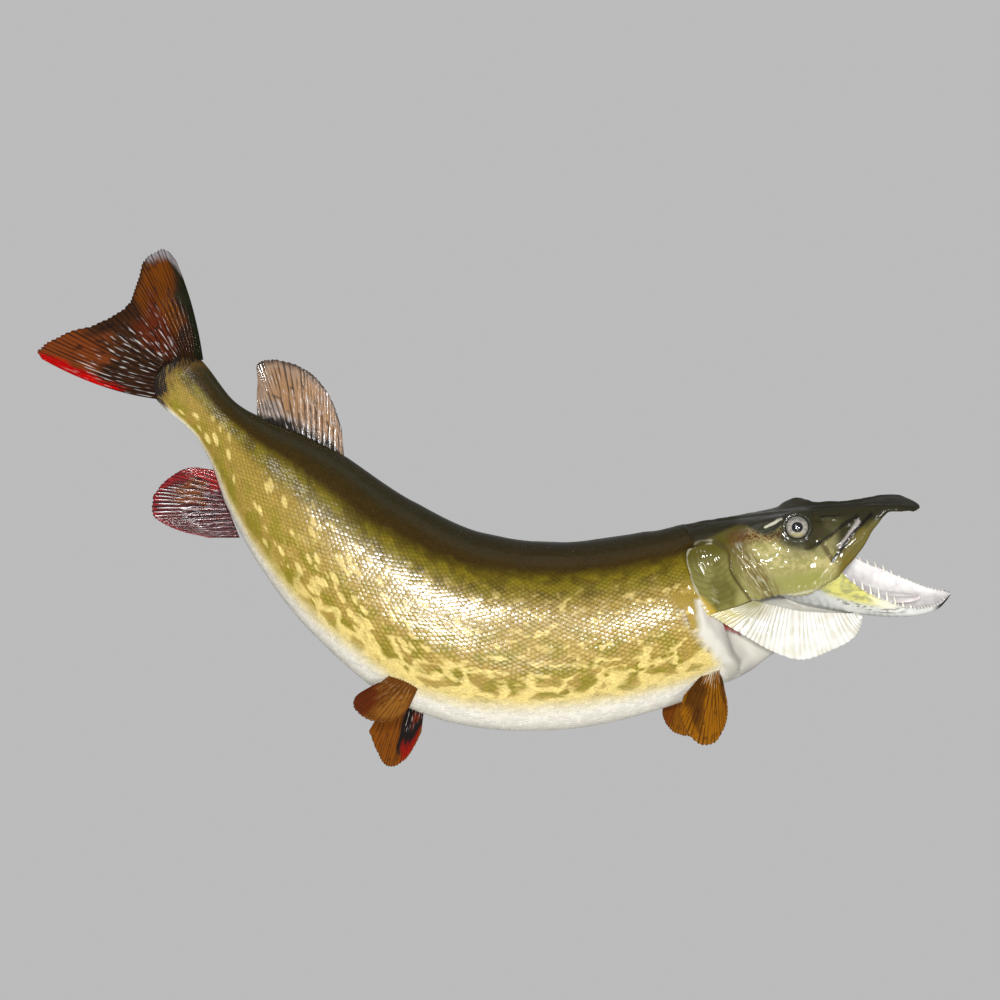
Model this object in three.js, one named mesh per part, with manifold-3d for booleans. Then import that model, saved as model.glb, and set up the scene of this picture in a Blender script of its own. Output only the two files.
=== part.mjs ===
// A wall-hung northern pike mount, as a still, life-size model.
//
// Millimetres, +Z up, +X towards the snout. The wall is the plane y = 0 and the fish stands in
// front of it, towards -Y, so the side that faces the room is the fish's right side.
// The origin is the middle of the hanger block's flat back, which lies against the wall.
import * as THREE from 'three';
import { mergeVertices } from 'three/addons/utils/BufferGeometryUtils.js';
import Module from 'manifold-3d';

const wasm = await Module();
wasm.setup();

const GAP = 0.35; // clearance left between two pieces that meet
const TRUNK_Y = -84; // distance of the body's middle plane from the wall
const HEAD_ORIGIN = new THREE.Vector3(240, TRUNK_Y, 30); // origin of the head's own frame
const HEAD_ROLL = { nape: 8, eyes: 15 }; // degrees that the crown leans towards the room
const HEAD_YAW = THREE.MathUtils.degToRad(6); // the snout swings away from the wall
const JAW_ORIGIN = new THREE.Vector3(330, TRUNK_Y - 3, 8); // jaw joint, where the jaw's frame starts
const JAW_ROLL = THREE.MathUtils.degToRad(27);
const EYE_RADIUS = 13;
const EYE_AT = [105, 24, 41]; // in the head's frame: forward, out to the side, up
const BLOCK = { length: 130, depth: 46, height: 64 }; // wooden hanger block let into the far flank
const PLATE = { length: 58, height: 22, thickness: 2.5, z: 18 }; // steel keyhole plate

const colour = (hex, roughness, metalness = 0) =>
  new THREE.MeshStandardMaterial({ color: hex, roughness, metalness });
const FLANK = colour(0x8a7a2e, 0.3);
const BACK_DARK = colour(0x3d3a20, 0.3);
const BELLY = colour(0xd9d3c2, 0.35);
const CHEEK = colour(0x76783a, 0.3);
const FAN = colour(0xdedcd0, 0.35);
const GILL_RED = colour(0x8e2a26, 0.4);
const MOUTH = colour(0xd3cbd0, 0.3);
const RUST_FIN = colour(0x7a3d14, 0.35);
const DARK_FIN = colour(0x4a3226, 0.35);
const RED_FIN = colour(0x6e2226, 0.35);
const GLASS_EYE = colour(0xcfc9b8, 0.08);
const PINE = colour(0xb58a56, 0.7);
const STEEL = colour(0x9a9c9e, 0.4, 0.9);

// ---------------------------------------------------------------- shape helpers

// A smooth curve through [x, y] knots, flat beyond its ends.
function profile(knots) {
  const end = knots.length - 1;
  const slopes = knots.map((_, i) => {
    const [a, b] = [knots[Math.max(i - 1, 0)], knots[Math.min(i + 1, end)]];
    return (b[1] - a[1]) / (b[0] - a[0]);
  });
  return (x) => {
    const clamped = THREE.MathUtils.clamp(x, knots[0][0], knots[end][0]);
    const i = Math.max(0, knots.findIndex((knot) => knot[0] >= clamped) - 1);
    const [x0, y0] = knots[i];
    const [x1, y1] = knots[i + 1];
    const t = (clamped - x0) / (x1 - x0);
    const smooth = t * t * (3 - 2 * t);
    const bend = t * (1 - t) * (x1 - x0) * (slopes[i] * (1 - t) - slopes[i + 1] * t);
    return y0 + (y1 - y0) * smooth + bend;
  };
}

const curveThrough = (points, closed = false) =>
  new THREE.CatmullRomCurve3(points.map((p) => new THREE.Vector3(...p)), closed, 'centripetal');

// A closed skin over a row of closed sections, flat at both ends. It bends the grid of a sphere:
// at(i, j) gives a point for i along, 0 to 1, and j round the section, 0 to 1.
function loft(sections, around, at) {
  const geometry = new THREE.SphereGeometry(1, around, sections + 1);
  const rings = [];
  for (let i = 0; i < sections; i++) {
    const ring = [];
    for (let j = 0; j <= around; j++) ring.push(at(i / (sections - 1), (j % around) / around));
    rings.push(ring);
  }
  const pole = (ring) => {
    const middle = new THREE.Vector3();
    ring.slice(1).forEach((p) => middle.addScaledVector(p, 1 / around));
    return ring.map(() => middle);
  };
  const rows = [pole(rings[0]), ...rings, pole(rings[sections - 1])];
  const position = geometry.getAttribute('position');
  rows.flat().forEach((p, k) => position.setXYZ(k, p.x, p.y, p.z));
  return geometry;
}

// A thin sheet as a closed skin: surface(p, q) is its middle surface, thickness(p, q) its wall.
function sheet(alongSteps, acrossSteps, surface, thickness) {
  const nudge = 0.004;
  const normalAt = (p, q) => {
    const alongP = surface(p + nudge, q).sub(surface(p - nudge, q));
    const alongQ = surface(p, q + nudge).sub(surface(p, q - nudge));
    return alongP.cross(alongQ).normalize();
  };
  return loft(alongSteps + 1, 2 * acrossSteps + 2, (p, turn) => {
    const step = Math.round(turn * (2 * acrossSteps + 2));
    const face = step <= acrossSteps ? 1 : -1;
    const q = (face > 0 ? step : 2 * acrossSteps + 1 - step) / acrossSteps;
    return surface(p, q).addScaledVector(normalAt(p, q), (face * thickness(p, q)) / 2);
  });
}

// A three.js geometry as a solid, with its shared vertices merged and its faces pointing out.
function solid(geometry) {
  const bare = geometry.clone();
  bare.deleteAttribute('normal');
  bare.deleteAttribute('uv');
  const merged = mergeVertices(bare, 1e-4);
  const index = [];
  const corners = merged.index.array;
  for (let i = 0; i < corners.length; i += 3) {
    const [a, b, c] = corners.slice(i, i + 3);
    if (a !== b && b !== c && c !== a) index.push(a, b, c);
  }
  const build = (triVerts) => new wasm.Manifold(new wasm.Mesh({
    numProp: 3,
    vertProperties: new Float32Array(merged.attributes.position.array),
    triVerts: new Uint32Array(triVerts),
  }));
  const made = build(index);
  return made.volume() > 0 ? made : build(index.reverse());
}

// A solid back as a three.js geometry.
function geometryOf(made) {
  const data = made.getMesh();
  const geometry = new THREE.BufferGeometry();
  geometry.setAttribute('position', new THREE.BufferAttribute(new Float32Array(data.vertProperties), 3));
  geometry.setIndex(new THREE.BufferAttribute(new Uint32Array(data.triVerts), 1));
  geometry.computeVertexNormals();
  return geometry;
}

// The solid grown outwards by a small amount, used as a cutter that leaves a gap.
function grown(made, amount = GAP) {
  const geometry = geometryOf(made);
  const position = geometry.getAttribute('position');
  const normal = geometry.getAttribute('normal');
  for (let i = 0; i < position.count; i++) {
    position.setXYZ(
      i,
      position.getX(i) + normal.getX(i) * amount,
      position.getY(i) + normal.getY(i) * amount,
      position.getZ(i) + normal.getZ(i) * amount,
    );
  }
  return solid(geometry);
}

const largestBody = (made) =>
  made.decompose().reduce((best, body) => (body.volume() > best.volume() ? body : best));

// The solid less the grown shapes of its neighbours, as its one largest body.
const clearOf = (made, ...neighbours) =>
  largestBody(neighbours.reduce((rest, neighbour) => rest.subtract(grown(neighbour)), made));

const fish = new THREE.Group();
function add(name, made, material) {
  const mesh = new THREE.Mesh(geometryOf(made), material);
  mesh.name = name;
  fish.add(mesh);
}

// ---------------------------------------------------------------- trunk and tail stalk

// Along the body from the tail fin's root to the shoulder: x and z of the middle line, then half
// the depth and half the width of the section there.
const BODY = [
  [-286, 226, 16, 4],
  [-272, 211, 30, 8],
  [-236, 172, 26.5, 14],
  [-213, 148, 35, 21],
  [-186, 120, 52, 31],
  [-150, 84, 68, 40],
  [-83, 20, 84, 51],
  [3, -33, 95.5, 60],
  [105, -46, 94, 61],
  [218, -25, 87, 56],
  [262, -8, 80, 49],
];
const STALK_END = 3 / 10; // the stalk's joint with the rear trunk, as a share of the stations
const TRUNK_SPLIT = 7.5 / 10;
const stationKnots = (column) => profile(BODY.map((row, i) => [i / (BODY.length - 1), row[column]]));
const spine = curveThrough(BODY.map(([x, z]) => [x, TRUNK_Y, z]));
const halfDepth = stationKnots(2);
const halfWidth = stationKnots(3);
const bodyRoll = profile([[0, 0], [0.6, 0], [1, 7]]); // degrees, towards the head's own lean

const squarish = (value, power) => Math.sign(value) * Math.abs(value) ** power;

// A point of the body's skin: t along the stations, turn round the section from the back's ridge.
function bodyPoint(t, turn) {
  const along = spine.getTangent(t);
  const roll = THREE.MathUtils.degToRad(bodyRoll(t));
  const up = new THREE.Vector3(-along.z, 0, along.x).normalize();
  const near = new THREE.Vector3(0, -1, 0);
  const dorsal = up.clone().multiplyScalar(Math.cos(roll)).addScaledVector(near, Math.sin(roll));
  const side = near.clone().multiplyScalar(Math.cos(roll)).addScaledVector(up, -Math.sin(roll));
  const angle = turn * 2 * Math.PI;
  return spine.getPoint(t)
    .addScaledVector(dorsal, halfDepth(t) * squarish(Math.cos(angle), 0.94))
    .addScaledVector(side, halfWidth(t) * squarish(Math.sin(angle), 0.86));
}

const bodyLength = (from, to, sections) =>
  solid(loft(sections, 24, (i, j) => bodyPoint(from + (to - from) * i, j)));
const halfGap = 0.0003; // of the whole station range: about a third of a millimetre in all

// ---------------------------------------------------------------- head

const headForward = new THREE.Vector3(Math.cos(HEAD_YAW), -Math.sin(HEAD_YAW), 0);

function framePoint(origin, forward, roll, u, v, w) {
  const near = new THREE.Vector3(-Math.sin(HEAD_YAW), -Math.cos(HEAD_YAW), 0);
  const up = new THREE.Vector3(0, 0, 1);
  const side = near.clone().multiplyScalar(Math.cos(roll)).addScaledVector(up, -Math.sin(roll));
  const dorsal = up.clone().multiplyScalar(Math.cos(roll)).addScaledVector(near, Math.sin(roll));
  return origin.clone().addScaledVector(forward, u).addScaledVector(side, v).addScaledVector(dorsal, w);
}

// In the head's frame: u forward from the nape, v out to the near side, w up.
function headPoint(u, v, w) {
  const roll = THREE.MathUtils.lerp(HEAD_ROLL.nape, HEAD_ROLL.eyes, THREE.MathUtils.smoothstep(u, 0, 100));
  return framePoint(HEAD_ORIGIN, headForward, THREE.MathUtils.degToRad(roll), u, v, w);
}

const crown = profile([[-18, 33], [10, 39], [50, 45.5], [80, 50], [104, 53], [121, 55.5], [157, 58.5],
  [176, 60.5], [190, 63], [205, 63], [213, 61.5], [221, 59], [226, 56.5]]);
const edgeDrop = profile([[-18, 9], [50, 5], [80, 3], [104, -3], [121, 0.5], [157, 1], [190, 1.5],
  [226, 0.6]]); // how far the crown's edge lies below its middle; the brows stand above it
const crownWidth = profile([[-18, 26], [50, 24], [80, 23.5], [104, 25], [121, 19], [140, 15], [157, 14],
  [176, 18], [190, 22], [205, 22], [213, 17], [221, 9], [226, 2]]);
const cheekWidth = profile([[-18, 46], [30, 47.5], [60, 48], [90, 45], [104, 42], [121, 38.5], [140, 36],
  [157, 31.5], [176, 28], [190, 25.5], [205, 24], [213, 19], [221, 11], [226, 2.6]]);
const cheekHeight = profile([[-18, 0.45], [100, 0.42], [140, 0.3], [180, 0.35], [226, 0.5]]);
const lipWidth = profile([[-18, 38], [50, 42], [90, 43], [125, 42], [141, 39.5], [150, 36], [160, 32],
  [180, 27.5], [205, 24.5], [213, 19.5], [221, 12], [226, 3]]);
const lipLine = profile([[-18, -36], [20, -40], [65, -30], [87, -23], [107, -23.5], [119, -21], [130, -14],
  [148, -2], [156, 6], [165, 16], [174, 30], [179, 39], [186, 49], [193, 56], [204, 57], [213, 56],
  [221, 54], [226, 54.5]]);
const palate = profile([[-18, -30], [22, -30], [45, -16], [70, 0], [100, 18], [130, 32], [160, 44],
  [180, 52], [193, 57], [205, 57.6], [213, 56.8], [226, 55]]);
const LIP_WALL = 5;

// The head's section at u as a closed loop: crown, cheek, lip, palate and back up the far side.
function headSection(u) {
  const [top, lip, roof] = [crown(u), lipLine(u), palate(u)];
  const [a, b, c] = [crownWidth(u), cheekWidth(u), lipWidth(u)];
  const widest = THREE.MathUtils.lerp(lip, top, cheekHeight(u));
  const wall = Math.min(LIP_WALL, c * 0.35);
  const near = [
    [a * 0.5, top - edgeDrop(u) * 0.35],
    [a, top - edgeDrop(u)],
    [THREE.MathUtils.lerp(a, b, 0.68), THREE.MathUtils.lerp(top, widest, 0.5)],
    [b, widest],
    [THREE.MathUtils.lerp(b, c, 0.6), THREE.MathUtils.lerp(widest, lip, 0.6)],
    [c, lip],
    [c - wall, lip - 0.4],
    [(c - wall) * 0.8, THREE.MathUtils.lerp(lip, roof, 0.62)],
  ];
  const far = near.map(([v, w]) => [-v, w]).reverse();
  const loop = [[0, top], ...near, [0, roof], ...far];
  return curveThrough(loop.map(([v, w]) => [0, v, w]), true);
}

function headSolid() {
  const stations = [-18, 10, 36, 58, 78, 92, 104, 116, 128, 140, 150, 160, 169, 177, 185, 193, 204,
    212, 218, 222.5, 225.6];
  const loops = stations.map((u) => headSection(u));
  const made = loft(stations.length, 26, (i, j) => {
    const k = Math.round(i * (stations.length - 1));
    const point = loops[k].getPoint(j);
    return headPoint(stations[k], point.y, point.z);
  });
  return solid(made);
}

// ---------------------------------------------------------------- lower jaw, teeth and tongue

const jawPoint = (u, v, w) => framePoint(JAW_ORIGIN, headForward, JAW_ROLL, u, v, w);

const rimHalfWidth = profile([[0, 25], [35, 29], [58, 32], [77, 33], [104, 35], [118, 33], [129, 31], [140, 26],
  [149, 21], [157, 16], [163, 9.5], [168.5, 2]]);
const rimHeight = profile([[0, 19], [30, 27], [52, 31.5], [58, 28.5], [66, 20], [77, 11], [90, 3], [104, -3],
  [114, -8], [129, -13], [139, -15.5], [156, -16], [163, -13], [168.5, -10.5]]);
const keel = profile([[0, -10], [17, -19], [38, -25], [58, -28], [97, -30], [117, -29], [136, -27],
  [154, -24], [164, -17.5], [168.5, -12.5]]);
const mouthFloor = profile([[0, 6], [30, 4], [56, -2], [77, -12], [100, -20], [129, -22], [150, -20.5],
  [162, -16], [168.5, -11.7]]);

function jawSection(u) {
  const [rim, low, floor, half] = [rimHeight(u), keel(u), mouthFloor(u), rimHalfWidth(u)];
  const wall = Math.min(4.5, half * 0.3);
  const near = [
    [(half - wall) * 0.55, floor + 0.06 * (rim - floor)],
    [half - wall - 0.6, THREE.MathUtils.lerp(floor, rim, 0.55)],
    [half - wall, rim - 0.5],
    [half, rim - 0.8],
    [half * 0.97, THREE.MathUtils.lerp(low, rim, 0.5)],
    [half * 0.62, low + 0.12 * (rim - low)],
  ];
  const far = near.map(([v, w]) => [-v, w]).reverse();
  return curveThrough([[0, floor], ...near, [0, low], ...far].map(([v, w]) => [0, v, w]), true);
}

// Dagger teeth stand along both rims: the big ones in the middle of the row.
function tooth(u, side) {
  const height = 4 + 8 * Math.sin((Math.PI * (u - 52)) / 88) ** 2;
  const inset = 3.4;
  const cone = new THREE.ConeGeometry(1.35, height, 4);
  cone.rotateX(Math.PI / 2 + side * 0.1);
  const root = jawPoint(u, side * (rimHalfWidth(u) - inset), rimHeight(u) + height / 2 - 2.2);
  cone.rotateX(JAW_ROLL);
  cone.translate(root.x, root.y, root.z);
  return solid(cone);
}

function jawSolid() {
  const stations = [0, 24, 44, 56, 66, 78, 91, 104, 117, 129, 140, 149, 156, 161.5, 165.5, 168];
  const loops = stations.map((u) => jawSection(u));
  let made = solid(loft(stations.length, 22, (i, j) => {
    const k = Math.round(i * (stations.length - 1));
    const point = loops[k].getPoint(j);
    return jawPoint(stations[k], point.y, point.z);
  }));
  const spacing = 8;
  for (const side of [1, -1]) {
    for (let u = 64; u < 132; u += spacing) made = made.add(tooth(u, side));
  }
  return made;
}

// A flat spade lying on the floor of the mouth.
function tongueSolid() {
  const [rear, front, thickness] = [40, 138, 4.5];
  const half = profile([[40, 14], [80, 13], [110, 11], [128, 8], [138, 1.5]]);
  return solid(loft(9, 12, (i, j) => {
    const u = THREE.MathUtils.lerp(rear, front, i);
    const angle = j * 2 * Math.PI;
    const base = mouthFloor(u) + 2.6;
    return jawPoint(u, half(u) * Math.sin(angle), base + thickness * 0.5 * (1 + Math.cos(angle)));
  }));
}

// ---------------------------------------------------------------- throat

const throatKeel = profile([[-10, -134], [35, -125], [60, -114], [80, -99], [110, -83], [140, -69],
  [164, -58]]);
const throatRoof = profile([[-10, -30], [60, -36], [100, -40], [128, -49], [164, -54]]);
const throatWidth = profile([[-10, 36], [27, 38], [45, 31], [65, 23], [90, 16], [120, 11], [164, 5]]);

const throatSolid = () => solid(loft(10, 16, (i, j) => {
  const u = THREE.MathUtils.lerp(-10, 164, i);
  const angle = j * 2 * Math.PI;
  const [roof, low] = [throatRoof(u), throatKeel(u)];
  const [middle, reach] = [(roof + low) / 2, (roof - low) / 2];
  return headPoint(u, throatWidth(u) * squarish(Math.sin(angle), 0.9), middle + reach * Math.cos(angle));
}));

// ---------------------------------------------------------------- gill covers and their fans

// Each is a sheet in the head's frame, given by its root line and its free edge, both from the top
// of the gill slit down and forward. Between the two lines it crowns outwards by its bulge. The
// cover is bone; the fan's ribbed skin hangs from the jaw.
const GILL_SHEETS = {
  gill_cover: {
    material: CHEEK,
    root: [[21, 46.5, 26], [38, 48.5, 18], [40, 49.5, 0], [50, 48, -16], [61, 45.5, -29]],
    edge: [[-2, 48.5, 19], [-3, 53, 10], [3, 55, -11], [12, 55, -31], [21, 54, -46]],
    bulge: 3.5,
    thickness: [5, 2],
    steps: [7, 4],
  },
  gill_fan: {
    material: FAN,
    root: [[62.5, 44.5, -30.5], [80, 39, -35], [108, 33, -42], [138, 24, -47], [168, 12, -52]],
    edge: [[22.5, 54, -47.5], [50, 53, -61.5], [79, 50, -78], [111, 45, -89], [140, 36, -82],
      [163, 24, -71], [172, 14, -54]],
    bulge: 3.5,
    thickness: [3, 1.4],
    steps: [12, 4],
  },
  gill_comb: {
    material: GILL_RED,
    root: [[36, 45, -42], [58, 41, -50]],
    edge: [[28, 50, -58], [50, 48, -66]],
    bulge: 0,
    thickness: [2, 1.6],
    steps: [3, 2],
  },
};

function gillSolid({ root, edge, bulge, thickness, steps }, side) {
  const mirrored = (points) => curveThrough(points.map(([u, v, w]) => [u, v * side, w]));
  const [rootLine, edgeLine] = [mirrored(root), mirrored(edge)];
  const surface = (p, q) => {
    const share = THREE.MathUtils.clamp(p, 0, 1);
    const point = rootLine.getPoint(share).lerp(edgeLine.getPoint(share), q);
    const crowned = bulge * side * Math.sin(Math.PI * THREE.MathUtils.clamp(q, 0, 1));
    return headPoint(point.x, point.y + crowned, point.z);
  };
  return solid(sheet(...steps, surface, (p, q) => THREE.MathUtils.lerp(...thickness, q)));
}

// ---------------------------------------------------------------- fins

// Each fin is a fan of rays: base is the line it grows from, front to rear, tip the line its rays
// end on, and bow how far the first and the last ray bow out of straight.
const FINS = {
  tail_fin: {
    material: DARK_FIN,
    base: [[-247, -84, 236], [-268, -84, 236], [-284, -84, 220], [-292, -84, 193]],
    tip: [[-273, -90, 329], [-284, -93, 340], [-303, -94, 331], [-312, -92, 306], [-322, -89, 285],
      [-351, -83, 268], [-390, -82, 255], [-412, -84, 240], [-408, -86, 231]],
    bow: [[8, 0, 0], [0, 0, -18]],
    thickness: [6, 1.4],
    steps: [17, 4],
  },
  dorsal_fin: {
    material: DARK_FIN,
    base: [[-105, -84, 128], [-135, -84, 144], [-165, -84, 156], [-193, -84, 172]],
    tip: [[-108, -86, 160], [-118, -89, 190], [-134, -92, 213], [-149, -93, 223], [-177, -92, 230],
      [-192, -90, 226], [-192, -88, 209], [-193, -86, 195]],
    bow: [[0, 0, 0], [0, 0, 0]],
    thickness: [3.5, 1.2],
    steps: [13, 3],
  },
  anal_fin: {
    material: RED_FIN,
    base: [[-210, -84, 52], [-219, -84, 74], [-228, -84, 96], [-233, -84, 120]],
    tip: [[-240, -87, 52], [-265, -88, 58], [-283, -90, 65], [-295, -91, 74], [-297, -91, 90],
      [-290, -90, 103], [-278, -88, 114], [-262, -87, 122], [-250, -86, 122]],
    bow: [[0, 0, 0], [0, 0, 0]],
    thickness: [3.5, 1.2],
    steps: [12, 3],
  },
  pelvic_fin_right: {
    material: RUST_FIN,
    base: [[-28, -122, -89], [-42, -124, -87], [-58, -122, -84]],
    tip: [[-39, -134, -113], [-49, -142, -123], [-64, -150, -126], [-82, -154, -121], [-92, -156, -110],
      [-90, -154, -101], [-80, -149, -94]],
    bow: [[0, 0, 0], [0, 0, 0]],
    thickness: [4, 1.2],
    steps: [9, 3],
  },
  pelvic_fin_left: {
    material: RUST_FIN,
    base: [[-25, -54, -106], [-40, -52, -102], [-56, -52, -98]],
    tip: [[-30, -42, -146], [-40, -38, -166], [-48, -36, -176], [-60, -34, -183], [-69, -34, -180],
      [-75, -35, -168], [-84, -37, -145]],
    bow: [[0, 0, 0], [0, 0, 0]],
    thickness: [4, 1.2],
    steps: [9, 3],
  },
  pectoral_fin_right: {
    material: RUST_FIN,
    base: [[266, -111, -76], [262, -112, -72], [257, -111, -75]],
    tip: [[272, -134, -106], [272, -137, -121], [268, -139, -134], [257, -140, -149], [242, -140, -147],
      [230, -139, -131], [226, -137, -118], [230, -132, -101]],
    bow: [[0, 0, 0], [0, 0, 0]],
    thickness: [5, 1.2],
    steps: [9, 3],
  },
  pectoral_fin_left: {
    material: RUST_FIN,
    base: [[250, -58, -76], [243, -57, -76], [236, -57, -78]],
    tip: [[254, -40, -140], [246, -38, -150], [234, -36, -150], [222, -36, -142], [216, -37, -130],
      [216, -40, -120]],
    bow: [[0, 0, 0], [0, 0, 0]],
    thickness: [5, 1.2],
    steps: [9, 3],
  },
};

function finSolid({ base, tip, bow, thickness, steps }) {
  const [root, edge] = [curveThrough(base), curveThrough(tip)];
  const [frontBow, rearBow] = bow.map((b) => new THREE.Vector3(...b));
  const ray = (p, q) => {
    const share = THREE.MathUtils.clamp(p, 0, 1);
    const lean = frontBow.clone().multiplyScalar((1 - share) ** 2).addScaledVector(rearBow, share ** 2);
    return root.getPoint(share).lerp(edge.getPoint(share), q).addScaledVector(lean, 2 * q * (1 - q));
  };
  const surface = (p, q) => ray(THREE.MathUtils.lerp(0.005, 0.995, p), q);
  return solid(sheet(...steps, surface, (p, q) => THREE.MathUtils.lerp(...thickness, q ** 0.6)));
}

// ---------------------------------------------------------------- hanger

// A keyhole plate's outline with its slot, drawn flat and stood against the wall.
function plateSolid() {
  const [half, rise] = [PLATE.length / 2, PLATE.height / 2];
  const outline = new THREE.Shape();
  outline.moveTo(-half, -rise).lineTo(half, -rise).lineTo(half, rise).lineTo(-half, rise);
  const [slot, head, drop] = [2.4, 4.8, -4];
  const keyhole = new THREE.Path();
  keyhole.moveTo(slot, 6);
  keyhole.absarc(0, 6, slot, 0, Math.PI, false);
  keyhole.lineTo(-slot, drop + Math.sqrt(head ** 2 - slot ** 2));
  const mouth = Math.asin(slot / head);
  keyhole.absarc(0, drop, head, Math.PI / 2 + mouth, 2.5 * Math.PI - mouth, false);
  outline.holes.push(keyhole);
  const plate = new THREE.ExtrudeGeometry(outline, { depth: PLATE.thickness, bevelEnabled: false, curveSegments: 8 });
  plate.rotateX(Math.PI / 2);
  plate.translate(0, -0.6, PLATE.z);
  return solid(plate);
}

function box(width, depth, height, x, y, z) {
  return solid(new THREE.BoxGeometry(width, depth, height).translate(x, y, z));
}

// The block has a shallow seat for the plate and a deeper pocket for the screw's head.
function blockSolid(trunkPieces) {
  const seatDepth = PLATE.thickness + 0.6 + GAP;
  const pocketDepth = 9;
  const blank = box(BLOCK.length, BLOCK.depth, BLOCK.height, 0, -BLOCK.depth / 2, 0);
  const seat = box(PLATE.length + 2 * GAP, seatDepth * 2, PLATE.height + 2 * GAP, 0, 0, PLATE.z);
  const pocket = box(16, pocketDepth * 2, PLATE.height - 4, 0, 0, PLATE.z);
  return clearOf(blank.subtract(seat).subtract(pocket), ...trunkPieces);
}

// ---------------------------------------------------------------- the whole mount

const stalk = bodyLength(0, STALK_END - halfGap, 8);
const trunkRear = bodyLength(STALK_END + halfGap, TRUNK_SPLIT - halfGap, 10);
const trunkFrontBlank = bodyLength(TRUNK_SPLIT + halfGap, 1, 9);

const eyeSolid = (side) => {
  const [u, v, w] = EYE_AT;
  const centre = headPoint(u, side * v, w);
  return solid(new THREE.SphereGeometry(EYE_RADIUS, 14, 9).translate(centre.x, centre.y, centre.z));
};
const [eyeRight, eyeLeft] = [eyeSolid(1), eyeSolid(-1)];
const bothSides = (name) => [1, -1].map((side) => gillSolid(GILL_SHEETS[name], side));
const [covers, fans] = [bothSides('gill_cover'), bothSides('gill_fan')];
const combs = bothSides('gill_comb').map((comb) => clearOf(comb, ...fans));

const head = clearOf(headSolid(), eyeRight, eyeLeft, ...covers, ...fans, ...combs);
const jaw = clearOf(jawSolid(), head, ...covers, ...fans);
const tongue = clearOf(tongueSolid(), jaw, head);
const trunkFront = clearOf(trunkFrontBlank, head, jaw, ...covers, ...fans, ...combs);
const throat = clearOf(throatSolid(), trunkFront, head, jaw, ...covers, ...fans, ...combs);

add('tail_stalk', stalk, FLANK);
add('trunk_rear', trunkRear, FLANK);
add('trunk_front', trunkFront, FLANK);
add('throat', throat, BELLY);
add('head', head, BACK_DARK);
add('lower_jaw', jaw, MOUTH);
add('tongue', tongue, MOUTH);
add('eye_right', eyeRight, GLASS_EYE);
add('eye_left', eyeLeft, GLASS_EYE);
['right', 'left'].forEach((side, i) => {
  add('gill_cover_' + side, covers[i], CHEEK);
  add('gill_fan_' + side, fans[i], FAN);
  add('gill_comb_' + side, combs[i], GILL_RED);
});
const bodyPieces = [stalk, trunkRear, trunkFront, throat];
for (const [name, fin] of Object.entries(FINS)) {
  add(name, clearOf(finSolid(fin), ...bodyPieces), fin.material);
}
add('hanger_block', blockSolid([trunkRear, trunkFront]), PINE);
add('hanger_plate', plateSolid(), STEEL);

export default fish;
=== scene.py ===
# A mounted northern pike on its wall hanger: skin, scales, fins, mouth and glass eyes.
import math
from functools import partial

import bmesh
import bpy
import numpy as np
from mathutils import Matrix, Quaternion, Vector, kdtree


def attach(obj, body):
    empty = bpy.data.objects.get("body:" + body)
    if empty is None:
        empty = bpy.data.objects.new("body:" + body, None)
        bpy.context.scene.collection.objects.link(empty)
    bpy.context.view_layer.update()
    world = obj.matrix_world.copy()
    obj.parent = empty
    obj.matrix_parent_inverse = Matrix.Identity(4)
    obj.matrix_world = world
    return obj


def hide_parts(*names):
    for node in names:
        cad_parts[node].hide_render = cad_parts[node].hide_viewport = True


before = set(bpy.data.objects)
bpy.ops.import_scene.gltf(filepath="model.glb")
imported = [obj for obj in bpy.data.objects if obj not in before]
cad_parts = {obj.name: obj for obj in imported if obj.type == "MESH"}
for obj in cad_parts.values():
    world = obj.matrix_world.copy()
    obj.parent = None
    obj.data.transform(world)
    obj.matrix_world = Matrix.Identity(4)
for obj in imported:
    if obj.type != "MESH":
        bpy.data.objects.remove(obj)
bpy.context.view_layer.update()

mm = 0.001  # the shapes below are in millimetres, as the frame's own solids are
rng = np.random.default_rng(7)

# ---- curves and shaping helpers


def profile(knots):  # a smooth curve through (x, y) knots, flat beyond its ends
    x, y = np.array(knots, float).T
    before, after = np.maximum(np.arange(len(x)) - 1, 0), np.minimum(np.arange(len(x)) + 1, len(x) - 1)
    slopes = (y[after] - y[before]) / (x[after] - x[before])

    def at(value):
        v = np.clip(value, x[0], x[-1])
        i = np.clip(np.searchsorted(x, v) - 1, 0, len(x) - 2)
        step = x[i + 1] - x[i]
        t = (v - x[i]) / step
        bend = t * (1 - t) * step * (slopes[i] * (1 - t) - slopes[i + 1] * t)
        return y[i] + (y[i + 1] - y[i]) * t * t * (3 - 2 * t) + bend

    return at


class CurveThrough:  # a centripetal Catmull-Rom curve through points
    def __init__(self, points, closed=False):
        p = np.array(points, float)
        if closed:
            row = np.vstack([p[-1], p, p[0], p[1]])
        else:
            row = np.vstack([2 * p[0] - p[1], p, 2 * p[-1] - p[-2]])
        p0, p1, p2, p3 = row[:-3], row[1:-2], row[2:-1], row[3:]
        gaps = np.sqrt(np.linalg.norm(np.diff(row, axis=0), axis=1))[:, None]
        d0, d1, d2 = gaps[:-2], gaps[1:-1], gaps[2:]
        m1 = ((p1 - p0) / d0 - (p2 - p0) / (d0 + d1) + (p2 - p1) / d1) * d1
        m2 = ((p2 - p1) / d1 - (p3 - p1) / (d1 + d2) + (p3 - p2) / d2) * d1
        self.parts = p1, m1, 3 * (p2 - p1) - 2 * m1 - m2, 2 * (p1 - p2) + m1 + m2

    def at(self, t, slope=False):
        a, b, c, d = self.parts
        place = np.clip(t, 0, 1) * len(a)
        i = np.minimum(place.astype(int), len(a) - 1)
        s = (place - i)[..., None]
        if slope:
            return b[i] + 2 * c[i] * s + 3 * d[i] * s * s
        return a[i] + (b[i] + (c[i] + d[i] * s) * s) * s


def lerp(a, b, share):
    return a + (b - a) * share


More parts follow.
